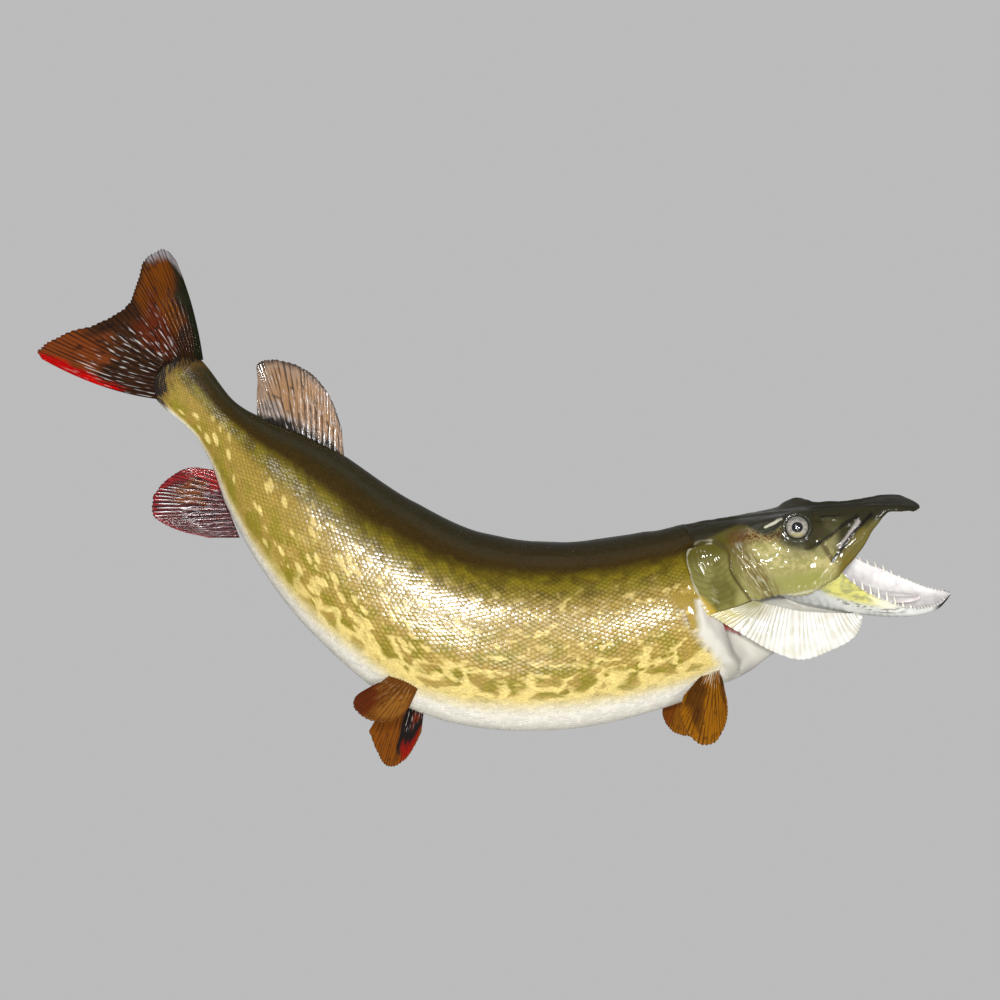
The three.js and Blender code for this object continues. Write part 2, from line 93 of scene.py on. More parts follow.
def ramp(low, high, value):  # a smooth step from 0 to 1
    t = np.clip((value - low) / (high - low), 0, 1)
    return t * t * (3 - 2 * t)


def squarish(value, power):
    return np.sign(value) * np.abs(value) ** power


def unit(v):
    return v / np.linalg.norm(v, axis=-1, keepdims=True)


def vertexArray(mesh):
    co = np.empty(len(mesh.vertices) * 3)
    mesh.vertices.foreach_get("co", co)
    return co.reshape(-1, 3)


def setVertices(mesh, co):
    mesh.vertices.foreach_set("co", np.ascontiguousarray(co, np.float32).ravel())
    mesh.update()


def attribute(mesh, name, values):  # a number or a vector for each vertex
    kind, key = ("FLOAT", "value") if np.ndim(values) == 1 else ("FLOAT_VECTOR", "vector")
    layer = mesh.attributes.new(name, kind, "POINT")
    layer.data.foreach_set(key, np.ascontiguousarray(values, np.float32).ravel())


def vertexNormals(mesh):
    directions = np.empty(len(mesh.vertices) * 3)
    mesh.vertices.foreach_get("normal", directions)
    return directions.reshape(-1, 3)


def treeOf(points):  # finds the nearest of the points
    tree = kdtree.KDTree(len(points))
    for i, point in enumerate(points):
        tree.insert(point, i)
    tree.balance()
    return tree


def bentGrid(along, across, at):  # a grid of quads bent by at(i, j), both from 0 to 1
    bm = bmesh.new()
    bmesh.ops.create_grid(bm, x_segments=along, y_segments=across, size=0.5)
    share = np.array([v.co[:2] for v in bm.verts]) + 0.5
    for vert, place in zip(bm.verts, at(share[:, 0], share[:, 1])):
        vert.co = place
    return bm


def closed(bm):  # merges a grid's seam, fills its ends and turns its faces out
    bmesh.ops.remove_doubles(bm, verts=bm.verts, dist=1e-3)
    bmesh.ops.holes_fill(bm, edges=bm.edges, sides=0)
    bmesh.ops.dissolve_degenerate(bm, edges=bm.edges, dist=1e-6)
    caps = [face for face in bm.faces if len(face.verts) > 4]
    bmesh.ops.triangulate(bm, faces=caps)
    bmesh.ops.recalc_face_normals(bm, faces=bm.faces)
    return bm


def joined(forms):  # several bmeshes as one
    whole = bmesh.new()
    for form in forms:
        mesh = bpy.data.meshes.new("form")
        form.to_mesh(mesh)
        form.free()
        whole.from_mesh(mesh)
        bpy.data.meshes.remove(mesh)
    return whole


def piece(name, bm):  # a bmesh as an object in the scene
    mesh = bpy.data.meshes.new(name)
    bm.to_mesh(mesh)
    bm.free()
    mesh.shade_smooth()
    obj = bpy.data.objects.new(name, mesh)
    bpy.context.scene.collection.objects.link(obj)
    return obj


def applyModifiers(obj):
    evaluated = obj.evaluated_get(bpy.context.evaluated_depsgraph_get())
    mesh = bpy.data.meshes.new_from_object(evaluated)
    obj.modifiers.clear()
    old, obj.data = obj.data, mesh
    bpy.data.meshes.remove(old)
    return mesh


def triangles(obj):
    return sum(len(face.vertices) - 2 for face in obj.data.polygons)


def noise3(points, size, seed):  # smooth value noise, -1 to 1, over cells of that size
    p = points / size + seed * 17.3
    cell = np.floor(p).astype(np.int64)
    f = p - cell
    f = f * f * (3 - 2 * f)
    total = 0
    for corner in np.ndindex(2, 2, 2):
        k = cell + corner
        mixed = k[:, 0] * 73856093 ^ k[:, 1] * 19349663 ^ k[:, 2] * 83492791
        mixed = (mixed ^ (mixed >> 13)) * 1274126177 & 0x7FFFFFFF
        share = np.prod(np.where(corner, f, 1 - f), axis=1)
        total = total + share * (mixed / 0x3FFFFFFF - 1)
    return total


# ---- the fish's own frames and sections

trunkY = -84
coatDepth = 0.55  # how far the skin lies inside the body's outline, to leave room for the scales

# x and z of the middle line from the tail to the shoulder, then half the depth and half the width
bodyStations = [
    (-286, 226, 16, 4), (-272, 211, 30, 8), (-236, 172, 26.5, 14), (-213, 148, 35, 21),
    (-186, 120, 52, 31), (-150, 84, 68, 40), (-83, 20, 84, 51), (3, -33, 95.5, 60),
    (105, -46, 94, 61), (218, -25, 87, 56), (262, -8, 80, 49)]
spine = CurveThrough([(x, trunkY, z) for x, z, _, _ in bodyStations])
stationShare = np.arange(len(bodyStations)) / (len(bodyStations) - 1)
halfDepth, halfWidth = [profile([(share, row[k]) for share, row in zip(stationShare, bodyStations)])
                        for k in (2, 3)]
bodyRoll = profile([(0, 0), (0.6, 0), (1, 7)])
depthPower, widthPower = 0.94, 0.86  # below 1 they make the section fuller than an ellipse
near = np.array([0.0, -1.0, 0.0])


def bodyAxes(t):
    along = unit(spine.at(t, slope=True))
    up = unit(np.stack([-along[..., 2], 0 * t, along[..., 0]], -1))
    roll = np.radians(bodyRoll(t))[..., None]
    return along, up * np.cos(roll) + near * np.sin(roll), near * np.cos(roll) - up * np.sin(roll)


def bodyPoint(t, turn, inset=0.0):  # turn goes round from the back's ridge, the near side first
    _, dorsal, side = bodyAxes(t)
    angle = turn * 2 * np.pi
    high = (halfDepth(t) - inset) * squarish(np.cos(angle), depthPower)
    wide = (halfWidth(t) - inset) * squarish(np.sin(angle), widthPower)
    return spine.at(t) + dorsal * high[..., None] + side * wide[..., None]


# distance along the spine, and half the girth, as tables over t
girths, aroundSteps, shareSteps = 40, 120, 100
tTable = np.linspace(0, 1, girths * 20 + 1)
girthT = tTable[::20]
spineTable = spine.at(tTable)
lengthTable = np.concatenate([[0], np.cumsum(np.linalg.norm(np.diff(spineTable, axis=0), axis=1))])
turnTable = np.linspace(0, 0.5, aroundSteps + 1)
girthRows = bodyPoint(np.repeat(girthT, aroundSteps + 1), np.tile(turnTable, girths + 1))
girthRows = girthRows.reshape(girths + 1, aroundSteps + 1, 3)
arcRows = np.cumsum(np.linalg.norm(np.diff(girthRows, axis=1), axis=2), axis=1)
halfGirth = profile(list(zip(girthT, arcRows[:, -1])))

headYaw = math.radians(6)
jawRoll = 27
forward = np.array([math.cos(headYaw), -math.sin(headYaw), 0])
outward = np.array([-math.sin(headYaw), -math.cos(headYaw), 0])
upward = np.array([0.0, 0.0, 1.0])


def leanAxes(degrees):
    angle = np.radians(degrees)[..., None]
    side = outward * np.cos(angle) - upward * np.sin(angle)
    return side, upward * np.cos(angle) + outward * np.sin(angle)


def turnedFrame(origin, roll):  # from a frame's own millimetres to the fish's, and back
    def point(u, v, w):  # u forward, v out to the near side, w up
        side, dorsal = leanAxes(roll(u))
        return origin + u[..., None] * forward + v[..., None] * side + w[..., None] * dorsal

    def place(points):
        offset = points - origin
        u = offset @ forward
        side, dorsal = leanAxes(roll(u))
        return np.stack([u, (offset * side).sum(1), (offset * dorsal).sum(1)], 1)

    return point, place


headPoint, headPlace = turnedFrame(np.array([240.0, trunkY, 30.0]), lambda u: lerp(8, 15, ramp(0, 100, u)))
jawPoint, jawPlace = turnedFrame(np.array([330.0, trunkY - 3, 8.0]), lambda u: np.full(u.shape, jawRoll))
spineTree = treeOf(spineTable)


def spot(point, *place):  # a single place in the head's or the jaw's frame
    return point(*np.array(place, float)[:, None])[0]


def bodyPlace(points):  # t along the stations and turn round the section, the near side positive
    t = tTable[[spineTree.find(point)[1] for point in points]]
    for _ in range(2):
        along = spine.at(t, slope=True)
        gap = ((points - spine.at(t)) * along).sum(1) / (along * along).sum(1)
        t = np.clip(t + gap / (len(bodyStations) - 1), 0, 1)
    _, dorsal, side = bodyAxes(t)
    offset = points - spine.at(t)
    high = (offset * dorsal).sum(1) / halfDepth(t)
    wide = (offset * side).sum(1) / halfWidth(t)
    angle = np.arctan2(np.abs(wide) ** (1 / widthPower), squarish(high, 1 / depthPower))
    return t, angle / (2 * np.pi), np.where(wide < 0, -1.0, 1.0)


def markingPlace(t, turn, side):  # millimetres along, millimetres up from the belly, and height 0 to 1
    height = 1 - 2 * turn
    return np.stack([np.interp(t, tTable, lengthTable), side * height * halfGirth(t), height], 1)


tailRoot = [(-297, 186), (-293, 200), (-291, 212), (-286, 224), (-276, 232.5), (-262, 236), (-247, 236.5)]


def markBody(mesh, place, points):
    attribute(mesh, "bodyAt", place)
    inHead = headPlace(points)
    ahead = inHead[:, 0] - np.interp(inHead[:, 2], [-110, -94, -76, -53, -32, -20], [42, 37, 22, 8, -3, 0])
    attribute(mesh, "shoulder", ahead - 30 * ramp(-38, -24, inHead[:, 2]))
    gap, _ = strokeDistance(points[:, 0], points[:, 2], tailRoot)
    attribute(mesh, "tailGap", gap)


crown = profile([(-18, 33), (10, 39), (50, 45.5), (80, 50), (104, 53), (121, 55.5), (157, 58.5),
                 (176, 60.5), (190, 63), (205, 63), (213, 61.5), (221, 59), (226, 56.5)])
edgeDrop = profile([(-18, 9), (50, 5), (80, 3), (104, -3), (121, 0.5), (157, 1), (190, 1.5), (226, 0.6)])
crownWidth = profile([(-18, 26), (50, 24), (80, 23.5), (104, 25), (121, 19), (140, 15), (157, 14),
                      (176, 18), (190, 22), (205, 22), (213, 17), (221, 9), (226, 2)])
cheekWidth = profile([(-18, 46), (30, 47.5), (60, 48), (90, 45), (104, 42), (121, 38.5), (140, 36),
                      (157, 31.5), (176, 28), (190, 25.5), (205, 24), (213, 19), (221, 11), (226, 2.6)])
cheekHeight = profile([(-18, 0.45), (100, 0.42), (140, 0.3), (180, 0.35), (226, 0.5)])
lipWidth = profile([(-18, 38), (50, 42), (90, 43), (125, 42), (141, 39.5), (150, 36), (160, 32),
                    (180, 27.5), (205, 24.5), (213, 19.5), (221, 12), (226, 3)])
lipLine = profile([(-18, -36), (20, -40), (65, -30), (87, -23), (107, -23.5), (119, -21), (130, -14),
                   (148, -2), (156, 6), (165, 16), (174, 30), (179, 39), (186, 49), (193, 56), (204, 57),
                   (213, 56), (221, 54), (226, 54.5)])
palate = profile([(-18, -30), (22, -30), (45, -16), (70, 0), (100, 18), (130, 32), (160, 44),
                  (180, 52), (193, 57), (205, 57.6), (213, 56.8), (226, 55)])


def mirroredLoop(top, nearSide, bottom):  # a closed section from its near side's v and w
    farSide = [(-v, w) for v, w in reversed(nearSide)]
    loop = [(0, top)] + nearSide + [(0, bottom)] + farSide
    return CurveThrough([(0, v, w) for v, w in loop], closed=True)


def headSection(u):  # the loop of a section: crown, cheek, lip, palate and back up the far side
    top, lip, roof = crown(u), lipLine(u), palate(u)
    a, b, c = crownWidth(u), cheekWidth(u), lipWidth(u)
    widest = lerp(lip, top, cheekHeight(u))
    wall = min(5, c * 0.35)
    return mirroredLoop(top, [
        (a * 0.5, top - edgeDrop(u) * 0.35), (a, top - edgeDrop(u)),
        (lerp(a, b, 0.68), lerp(top, widest, 0.5)), (b, widest),
        (lerp(b, c, 0.6), lerp(widest, lip, 0.6)), (c, lip), (c - wall, lip - 0.4),
        ((c - wall) * 0.8, lerp(lip, roof, 0.62))], roof)


jawRimWidth = profile([(0, 25), (35, 29), (58, 32), (77, 33), (104, 35), (118, 33), (129, 31), (140, 26),
                       (149, 21), (157, 16), (163, 9.5), (168.5, 2)])
jawRim = profile([(0, 19), (30, 27), (52, 31.5), (58, 28.5), (66, 20), (77, 11), (90, 3), (104, -3),
                  (114, -8), (129, -13), (139, -15.5), (156, -16), (163, -13), (168.5, -10.5)])
jawKeel = profile([(0, -10), (17, -19), (38, -25), (58, -28), (97, -30), (117, -29), (136, -27),
                   (154, -24), (164, -17.5), (168.5, -12.5)])
mouthFloor = profile([(0, 6), (30, 4), (56, -2), (77, -12), (100, -20), (129, -22), (150, -20.5),
                      (162, -16), (168.5, -11.7)])


def jawSection(u):
    rim, low, floor, half = jawRim(u), jawKeel(u), mouthFloor(u), jawRimWidth(u)
    wall = min(4.5, half * 0.3)
    return mirroredLoop(floor, [
        ((half - wall) * 0.55, floor + 0.06 * (rim - floor)), (half - wall - 0.6, lerp(floor, rim, 0.55)),
        (half - wall, rim - 0.5), (half, rim - 0.8), (half * 0.97, lerp(low, rim, 0.5)),
        (half * 0.62, low + 0.12 * (rim - low))], low)


throatKeel = profile([(-10, -134), (35, -125), (60, -114), (80, -99), (110, -83), (140, -69), (164, -58)])
throatRoof = profile([(-10, -30), (60, -36), (100, -40), (128, -49), (164, -54)])
throatWidth = profile([(-10, 36), (27, 38), (45, 31), (65, 23), (90, 16), (120, 11), (164, 5)])


def throatPoint(i, j):
    u = lerp(-10, 164, i)
    angle = j * 2 * np.pi
    roof, low = throatRoof(u), throatKeel(u)
    return headPoint(u, throatWidth(u) * squarish(np.sin(angle), 0.9),
                     (roof + low) / 2 + (roof - low) / 2 * np.cos(angle))


def sectionPoint(section, place, first, last, curve):  # curve crowds the rows towards the last
    # sections are worked out once for each row of the grid
    def at(i, j):
        points = np.empty((len(i), 3))
        for share in np.unique(i):
            row = i == share
            u = first + (last - first) * (1 - (1 - share) ** curve)
            loop = section(u).at(j[row])
            points[row] = place(np.full(len(loop), u), loop[:, 1], loop[:, 2])
        return points
    return at


def sheetPoint(surface, thickness, across):
    # both faces of a thin sheet, as one closed band round it
    def at(i, j):
        step = np.round(j * (2 * across + 2)).astype(int) % (2 * across + 2)
        face = np.where(step <= across, 1, -1)
        q = np.where(face > 0, step, 2 * across + 1 - step) / across
        nudge = 0.004
        alongP = surface(i + nudge, q) - surface(i - nudge, q)
        alongQ = surface(i, q + nudge) - surface(i, q - nudge)
        return surface(i, q) + unit(np.cross(alongP, alongQ)) * (face * thickness(i, q) / 2)[:, None]
    return at


gillSheets = {
    "cover": {
        "root": [(21, 46.5, 26), (38, 48.5, 18), (40, 49.5, 0), (50, 48, -16), (61, 45.5, -29)],
        "edge": [(-2, 48.5, 19), (-3, 53, 10), (3, 55, -11), (12, 55, -31), (21, 54, -46)],
        "bulge": 3.5, "thickness": (5, 2)},
    "fan": {
        "root": [(63, 46.5, -28.5), (80, 40, -34), (108, 33, -42), (138, 24, -47), (168, 12, -52)],
        "edge": [(20, 55.5, -44.5), (50, 53, -61.5), (79, 50, -78), (111, 45, -89), (140, 36, -82),
                 (163, 24, -71), (172, 14, -54)],
        "bulge": 3.5, "thickness": (3, 1.4)},
    "comb": {
        "root": [(36, 45, -42), (58, 41, -50)],
        "edge": [(28, 50, -58), (50, 48, -66)],
        "bulge": 0, "thickness": (2, 1.6)},
}


def gillSurface(kind, side, pleat=None):
    sheet = gillSheets[kind]
    root, edge = [CurveThrough([(u, v * side, w) for u, v, w in sheet[line]]) for line in ("root", "edge")]

    def surface(p, q):
        place = lerp(root.at(p), edge.at(p), q[..., None])
        out = sheet["bulge"] * np.sin(np.pi * np.clip(q, 0, 1))
        if pleat:
            out = out + pleat(p, q)
        return headPoint(place[:, 0], place[:, 1] + side * out, place[:, 2])

    return surface

# ---- the skin: closed forms fused by a voxel remesh, then shaped

skin = {
    "voxel": 1.25, "triangles": 186000, "inset": coatDepth,
    "eyeAt": (105, 24, 41), "maskAt": (105, 43.5), "eyeRadius": 12.6, "lidOpening": 11.3, "lidRise": 0.9,
    "lidRings": [(0.45, 13.2, 1.5), (-0.5, 16.4, 2.0)],  # height, radius and width
}
headLean, eyeUp, eyeAhead = 15.0, math.radians(15), math.radians(3)


def eyeAxis(side):
    sideways, dorsal = leanAxes(np.array(headLean))
    axis = side * math.cos(eyeUp) * sideways + math.sin(eyeUp) * dorsal
    return unit(axis + math.sin(eyeAhead) * forward)


def eyeCentre(side):
    u, v, w = skin["eyeAt"]
    return spot(headPoint, u, side * v, w)


coverAcross = 16
# how many quads each form has along it and round it
formGrids = {
    "body": (320, 144), "head": (150, 120), "jaw": (120, 110), "throat": (90, 80),
    "cover": (40, 2 * coverAcross + 2),
}


def coverPoint(side):
    thick = gillSheets["cover"]["thickness"]
    return sheetPoint(gillSurface("cover", side), lambda p, q: lerp(*thick, q), coverAcross)


formPoints = [
    ("body", lambda i, j: bodyPoint(i, j, skin["inset"])),
    ("head", sectionPoint(headSection, headPoint, -18, 225.8, 1.25)),
    ("jaw", sectionPoint(jawSection, jawPoint, 0, 168.2, 1.3)),
    ("throat", throatPoint), ("cover", coverPoint(1)), ("cover", coverPoint(-1)),
]
forms = [(name, closed(bentGrid(*formGrids[name], at))) for name, at in formPoints]
partNames = list(formGrids)
sourceParts = np.concatenate([[partNames.index(name)] * len(form.verts) for name, form in forms])
blank = joined([form for _, form in forms])
sourcePoints = np.array([vert.co[:] for vert in blank.verts])
for vert in blank.verts:
    vert.co *= mm
pikeSkin = piece("pike_skin", blank)
sourceTree = treeOf(sourcePoints)
print("forms joined", len(sourcePoints))


def partShares(points, count=6):  # how much each point belongs to each part, from the forms nearby
    shares = np.zeros((len(points), len(partNames)))
    for row, point in enumerate(points):
        for _, i, distance in sourceTree.find_n(point, count):
            shares[row, sourceParts[i]] += 1 / (distance + 0.4) ** 2
    return shares / shares.sum(1, keepdims=True)


remesh = pikeSkin.modifiers.new("fuse", "REMESH")
remesh.mode = "VOXEL"
remesh.voxel_size = skin["voxel"] * mm
smooth = pikeSkin.modifiers.new("ease", "SMOOTH")
smooth.factor, smooth.iterations = 0.5, 5
applyModifiers(pikeSkin)
print("skin fused", triangles(pikeSkin))


def strokeDistance(x, y, line):  # distance to a polyline, and how far along it the nearest point is
    best, along = np.full(x.shape, 1e9), np.zeros(x.shape)
    total = len(line) - 1
    for k, ((ax, ay), (bx, by)) in enumerate(zip(line, line[1:])):
        dx, dy = bx - ax, by - ay
        t = np.clip(((x - ax) * dx + (y - ay) * dy) / (dx * dx + dy * dy), 0, 1)
        gap = np.hypot(x - ax - t * dx, y - ay - t * dy)
        along = np.where(gap < best, (k + t) / total, along)
        best = np.minimum(best, gap)
    return best, along


def crease(x, y, line, width, height):  # a rounded ridge, or a groove if height is below 0
    gap, along = strokeDistance(x, y, line)
    ends = ramp(0, 0.15, along) * ramp(0, 0.15, 1 - along)
    return height * np.exp(-(gap / width) ** 2) * (0.25 + 0.75 * ends)


headCreases = [  # (line in the head's u and w, width, height)
    ([(22, 30), (38, 20), (41, 0), (50, -16), (60, -29)], 2.2, -1.5),
    ([(45, 24), (48, 10), (54, -4), (62, -18), (70, -28)], 2.4, 1.4),
    ([(50, 19), (58, 6), (67, -8), (76, -20)], 1.7, -1.3),
    ([(55, 20), (63, 7), (72, -7), (82, -17)], 1.8, 1.1),
    ([(61, 20), (69, 8), (78, -4)], 1.6, -0.8),
    ([(128, -14), (137, -8), (148, 7), (163, 26), (178, 44), (190, 54)], 2.8, 0.8),
    ([(120, -12), (129, -3), (140, 14), (156, 33), (172, 49)], 2.2, -0.8),
    ([(120, 24), (138, 33), (157, 42), (176, 53)], 2.2, -0.7),
    ([(127, 27), (143, 34), (160, 42), (176, 51)], 2.4, 0.5),
    ([(70, 37), (80, 42), (92, 50)], 2.6, -1.5),
    ([(76, 34), (88, 27), (104, 24), (120, 30)], 2.2, 0.9),
    ([(84, 55), (96, 59), (108, 58), (122, 54)], 3.4, 1.6),
    ([(126, 56), (146, 58), (170, 60), (188, 62)], 2.4, 1.1),
    ([(111, 49), (127, 48), (146, 47)], 1.5, -1.0),
]
nostrils = [(116, 49.5, 2.4), (127, 48.2, 2.0)]  # u, w and radius of each pit
shoulderRidge = [(-3, -20), (1, -32), (11, -53), (25, -76), (40, -94), (52, -104)]
jawPores = [(u, -8 - 0.06 * u) for u in range(38, 146, 18)]


def headRelief(place, shares, points):
    u, v, w = place.T
    nearby = np.abs(v)
    flesh = shares[:, 1]
    outer = flesh * ramp(10, 16, nearby)
    bentU, bentW = u + 1.8 * noise3(points, 7, 8), w + 1.8 * noise3(points, 7, 9)
    rise = sum(crease(bentU, bentW, *row) for row in headCreases) * outer
    # the jaw muscle's bulge, and wrinkles along the cheek's lower edge
    bulge = np.exp(-(((u - 92) / 34) ** 2 + ((w - 4) / 22) ** 2) ** 1.5)
    rise += 2.0 * bulge * outer
    edge, _ = strokeDistance(u, w, [(60, -29), (76, -30), (88, -23), (106, -22), (124, -17), (136, -6)])
    wrinkles = np.sin(u * 1.05 + 2.2 * noise3(points, 9, 3)) * np.exp(-(edge / 5.5) ** 2)
    rise += 0.65 * wrinkles * outer
    for pitU, pitW, radius in nostrils:
        pit = ((u - pitU) / radius) ** 2 + ((w - pitW) / (radius * 0.75)) ** 2
        rise -= 2.2 * np.exp(-pit ** 1.5) * outer
    # faint hollows between the bones of the crown
    top = flesh * ramp(16, 8, nearby) * ramp(26, 34, w)
    rise -= 0.9 * np.exp(-((nearby - 7) / 3.5) ** 2) * top * ramp(0, 40, u) * ramp(190, 150, u)
    rise += 0.35 * noise3(points, 6, 1) * flesh * ramp(-36, -20, w)
    return rise


def coverRelief(place, shares):
    u, v, w = place.T
    growth = np.hypot(u - 44, (w - 24) * 0.8)
    arcs = 0.10 * np.sin(growth * 2 * np.pi / 5.2) * ramp(12, 22, growth)
    return arcs * shares[:, 4] * ramp(40, 46, np.abs(v))


def jawRelief(place, shares, points):
    u, v, w = place.T
    flesh = shares[:, 2]
    half = jawRimWidth(u)
    outside = ramp(half - 3.5, half - 1.5, np.abs(v))
    groove = [(50, -3), (100, -3), (150, -2.4), (160, -2)]  # along the jaw, under its rim
    rise = 0.5 * crease(u, w - jawRim(u), groove, 1.2, -1.4) * outside
    for poreU, poreW in jawPores:
        rise -= 1.0 * np.exp(-((u - poreU) ** 2 + (w - poreW - jawKeel(u) * 0.4) ** 2) / 1.6) * outside
    # soft folds on the inner walls, and a ridge that carries the teeth
    inside = (1 - outside) * ramp(jawKeel(u) + 5, jawKeel(u) + 8, w)
    rise += 0.45 * np.sin(u * 0.8 + 3 * noise3(points, 14, 5)) * inside * ramp(150, 120, u)
    return rise * flesh


def shoulderRelief(place, shares):
    u, v, w = place.T
    body = shares[:, 0] + shares[:, 3]
    outer = ramp(18, 26, np.abs(v)) * body
    gap, along = strokeDistance(u, w, shoulderRidge)
    rise = 2.4 * np.exp(-(gap / 5.5) ** 2) * ramp(0, 0.1, along) * ramp(0, 0.12, 1 - along)
    ahead = u - np.interp(-w, [20, 32, 53, 76, 94], [-3, 1, 11, 25, 40])
    hollow = ramp(4, 14, ahead) * ramp(40, 22, ahead) * ramp(-20, -34, w) * ramp(-118, -96, w)
    return (rise - 2.2 * hollow) * outer


def seatEye(points, shares, side):
    centre, axis = eyeCentre(side), eyeAxis(side)
    offset = points - centre
    high = offset @ axis
    across = offset - high[:, None] * axis
    radius = np.linalg.norm(across, axis=1)
    ball, opening = skin["eyeRadius"], skin["lidOpening"]
    edgeHigh = math.sqrt(ball ** 2 - opening ** 2) + skin["lidRise"]
    lid = lerp(edgeHigh, high, 0.30)
    for ringHigh, at, width in skin["lidRings"]:
        lid += ringHigh * np.exp(-((radius - at) / width) ** 2)
    sunk = lerp(2.5, lid, ramp(opening - 1.0, opening + 0.5, radius))
    share = ramp(20, 15, radius) * (high > -2) * ramp(0.2, 0.6, shares[:, 1])
    return points + (axis * ((sunk - high) * share)[:, None])


skinMesh = pikeSkin.data
points = vertexArray(skinMesh) / mm
shares = partShares(points)
inHead, inJaw = headPlace(points), jawPlace(points)
rise = headRelief(inHead, shares, points) + coverRelief(inHead, shares)
rise += jawRelief(inJaw, shares, points) + shoulderRelief(inHead, shares)
points = points + vertexNormals(skinMesh) * rise[:, None]
for side in (1, -1):
    points = seatEye(points, shares, side)
setVertices(skinMesh, points * mm)

coarse = pikeSkin.vertex_groups.new(name="coarse")
onTrunk = shares[:, 0] > 0.97
for chosen, weight in ((onTrunk, 1.0), (~onTrunk, 0.12)):
    coarse.add(np.nonzero(chosen)[0].tolist(), weight, "REPLACE")
fewer = pikeSkin.modifiers.new("fewer", "DECIMATE")
fewer.ratio = min(1.0, skin["triangles"] / triangles(pikeSkin))
fewer.vertex_group = "coarse"
skinMesh = applyModifiers(pikeSkin)
pikeSkin.vertex_groups.clear()
skinMesh.shade_smooth()
print("skin shaped", triangles(pikeSkin))

points = vertexArray(skinMesh) / mm
shares = partShares(points, 10)
inHead, inJaw = headPlace(points), jawPlace(points)
bodyT, bodyTurn, bodySide = bodyPlace(points)
markBody(skinMesh, markingPlace(bodyT, bodyTurn, bodySide), points)
for name, place in (("headAt", inHead), ("jawAt", inJaw)):
    attribute(skinMesh, name, np.stack([place[:, 0], np.abs(place[:, 1]), place[:, 2]], 1))
attribute(skinMesh, "parts", np.stack([shares[:, 1] + shares[:, 4], shares[:, 2], shares[:, 3]], 1))
sideways = leanAxes(np.full(len(points), headLean))[0]
lateral = (vertexNormals(skinMesh) * sideways).sum(1)
headU, headV, headW = inHead.T
jawU, jawV, jawW = inJaw.T
roofLine = lerp(lipLine(headU), palate(headU), 0.5)
insideHead = shares[:, 1] * ramp(2.5, 0.5, headW - roofLine)
insideHead *= ramp(-1.0, -2.6, np.abs(headV) - lipWidth(headU) + 1.5)
insideHead *= ramp(0.5, 0.2, lateral * np.sign(headV))
wallShape = profile([(-0.1, 0), (0, 0.2), (0.12, 0.62), (0.5, 0.97), (1, 1)])
jawHeight = (jawW - jawKeel(jawU)) / (jawRim(jawU) - jawKeel(jawU))
insideJaw = np.abs(jawV) - jawRimWidth(jawU) * wallShape(jawHeight)
insideJaw = shares[:, 2] * ramp(-1.4, -2.8, insideJaw) * ramp(0.05, 0.16, jawHeight)
insideJaw *= ramp(0.6, 0.35, lateral * np.sign(jawV))
attribute(skinMesh, "inside", np.clip(insideHead + insideJaw, 0, 1))

# distances in millimetres to the lines that the head's markings follow
headLines = {
    "darkStripe": [(120, 22), (128, 28), (139, 34.5), (151, 44), (164, 51)],
    "paleStripe": [(147, 23), (154, 32), (160, 40), (165, 46)],
    "lowStripe": [(139, 9), (149, 22), (156, 32), (166, 43), (177, 54)],
    "jawSpot": [(128, 29), (133, 22), (139, 12)],
    "eyeWedge": [(74, 41), (84, 46), (90, 50)],
    "eyeShade": [(70, 39), (84, 37), (94, 29), (108, 25)],
    "nostrilLine": [(128, 50.5), (134, 51.5), (142, 51.2), (147, 52)],
    "redPatch": [(44, 28), (60, 33), (74, 36), (90, 37)],
    "lipEdge": [(61, -29), (74, -31), (84, -25), (103, -22), (123, -18), (134, -9), (146, 4), (158, 18),
                (170, 34)],
    "coverEdge": [(22, 26), (10, 25), (0, 19), (-3, 12), (3, -11), (12, -31), (21, -46)],
    "yellowPatch": [(10, -33), (24, -46)],
    "greenPatch": [(86, -12), (124, -6)],
    "creaseLine": [(22, 30), (38, 20), (41, 0), (50, -16), (60, -29)],
    "cheekFold": [(50, 19), (60, 6), (69, -8), (78, -19)],
    "goldPatch": [(160, 20), (177, 40), (191, 55)],
}
for name, line in headLines.items():
    attribute(skinMesh, name, strokeDistance(headU, headW, line)[0])
# heights above the crown's dark edge, the stripe before the eye and the jaw's yellow
markingEdges = {
    "overTop": (inHead, [(-20, 16), (1, 22.5), (16, 27), (30, 33), (50, 41), (74, 41.5), (85, 47),
                         (93, 54), (108, 58), (137, 58.5), (160, 57), (180, 57), (205, 60), (226, 60)]),
    "overStripe": (inHead, [(104, 25), (118, 21), (127, 28), (139, 35), (151, 44), (164, 51), (178, 58)]),
    "overYellow": (inJaw, [(24, 14), (33, 9), (43, 4), (58, -1.5), (72, -4.5), (87, -7), (104, -9.5)]),
}
for name, (place, edge) in markingEdges.items():
    attribute(skinMesh, name, place[:, 2] - profile(edge)(place[:, 0]))
attribute(skinMesh, "overKeel", jawHeight)
maskU, maskW = skin["maskAt"]
attribute(skinMesh, "eyeGap", np.hypot(headU - maskU, headW - maskW))
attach(pikeSkin, "root")
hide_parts("tail_stalk", "trunk_rear", "trunk_front", "throat", "head", "lower_jaw",
            "gill_cover_right", "gill_cover_left")

# ---- scales over the trunk and the tail stalk

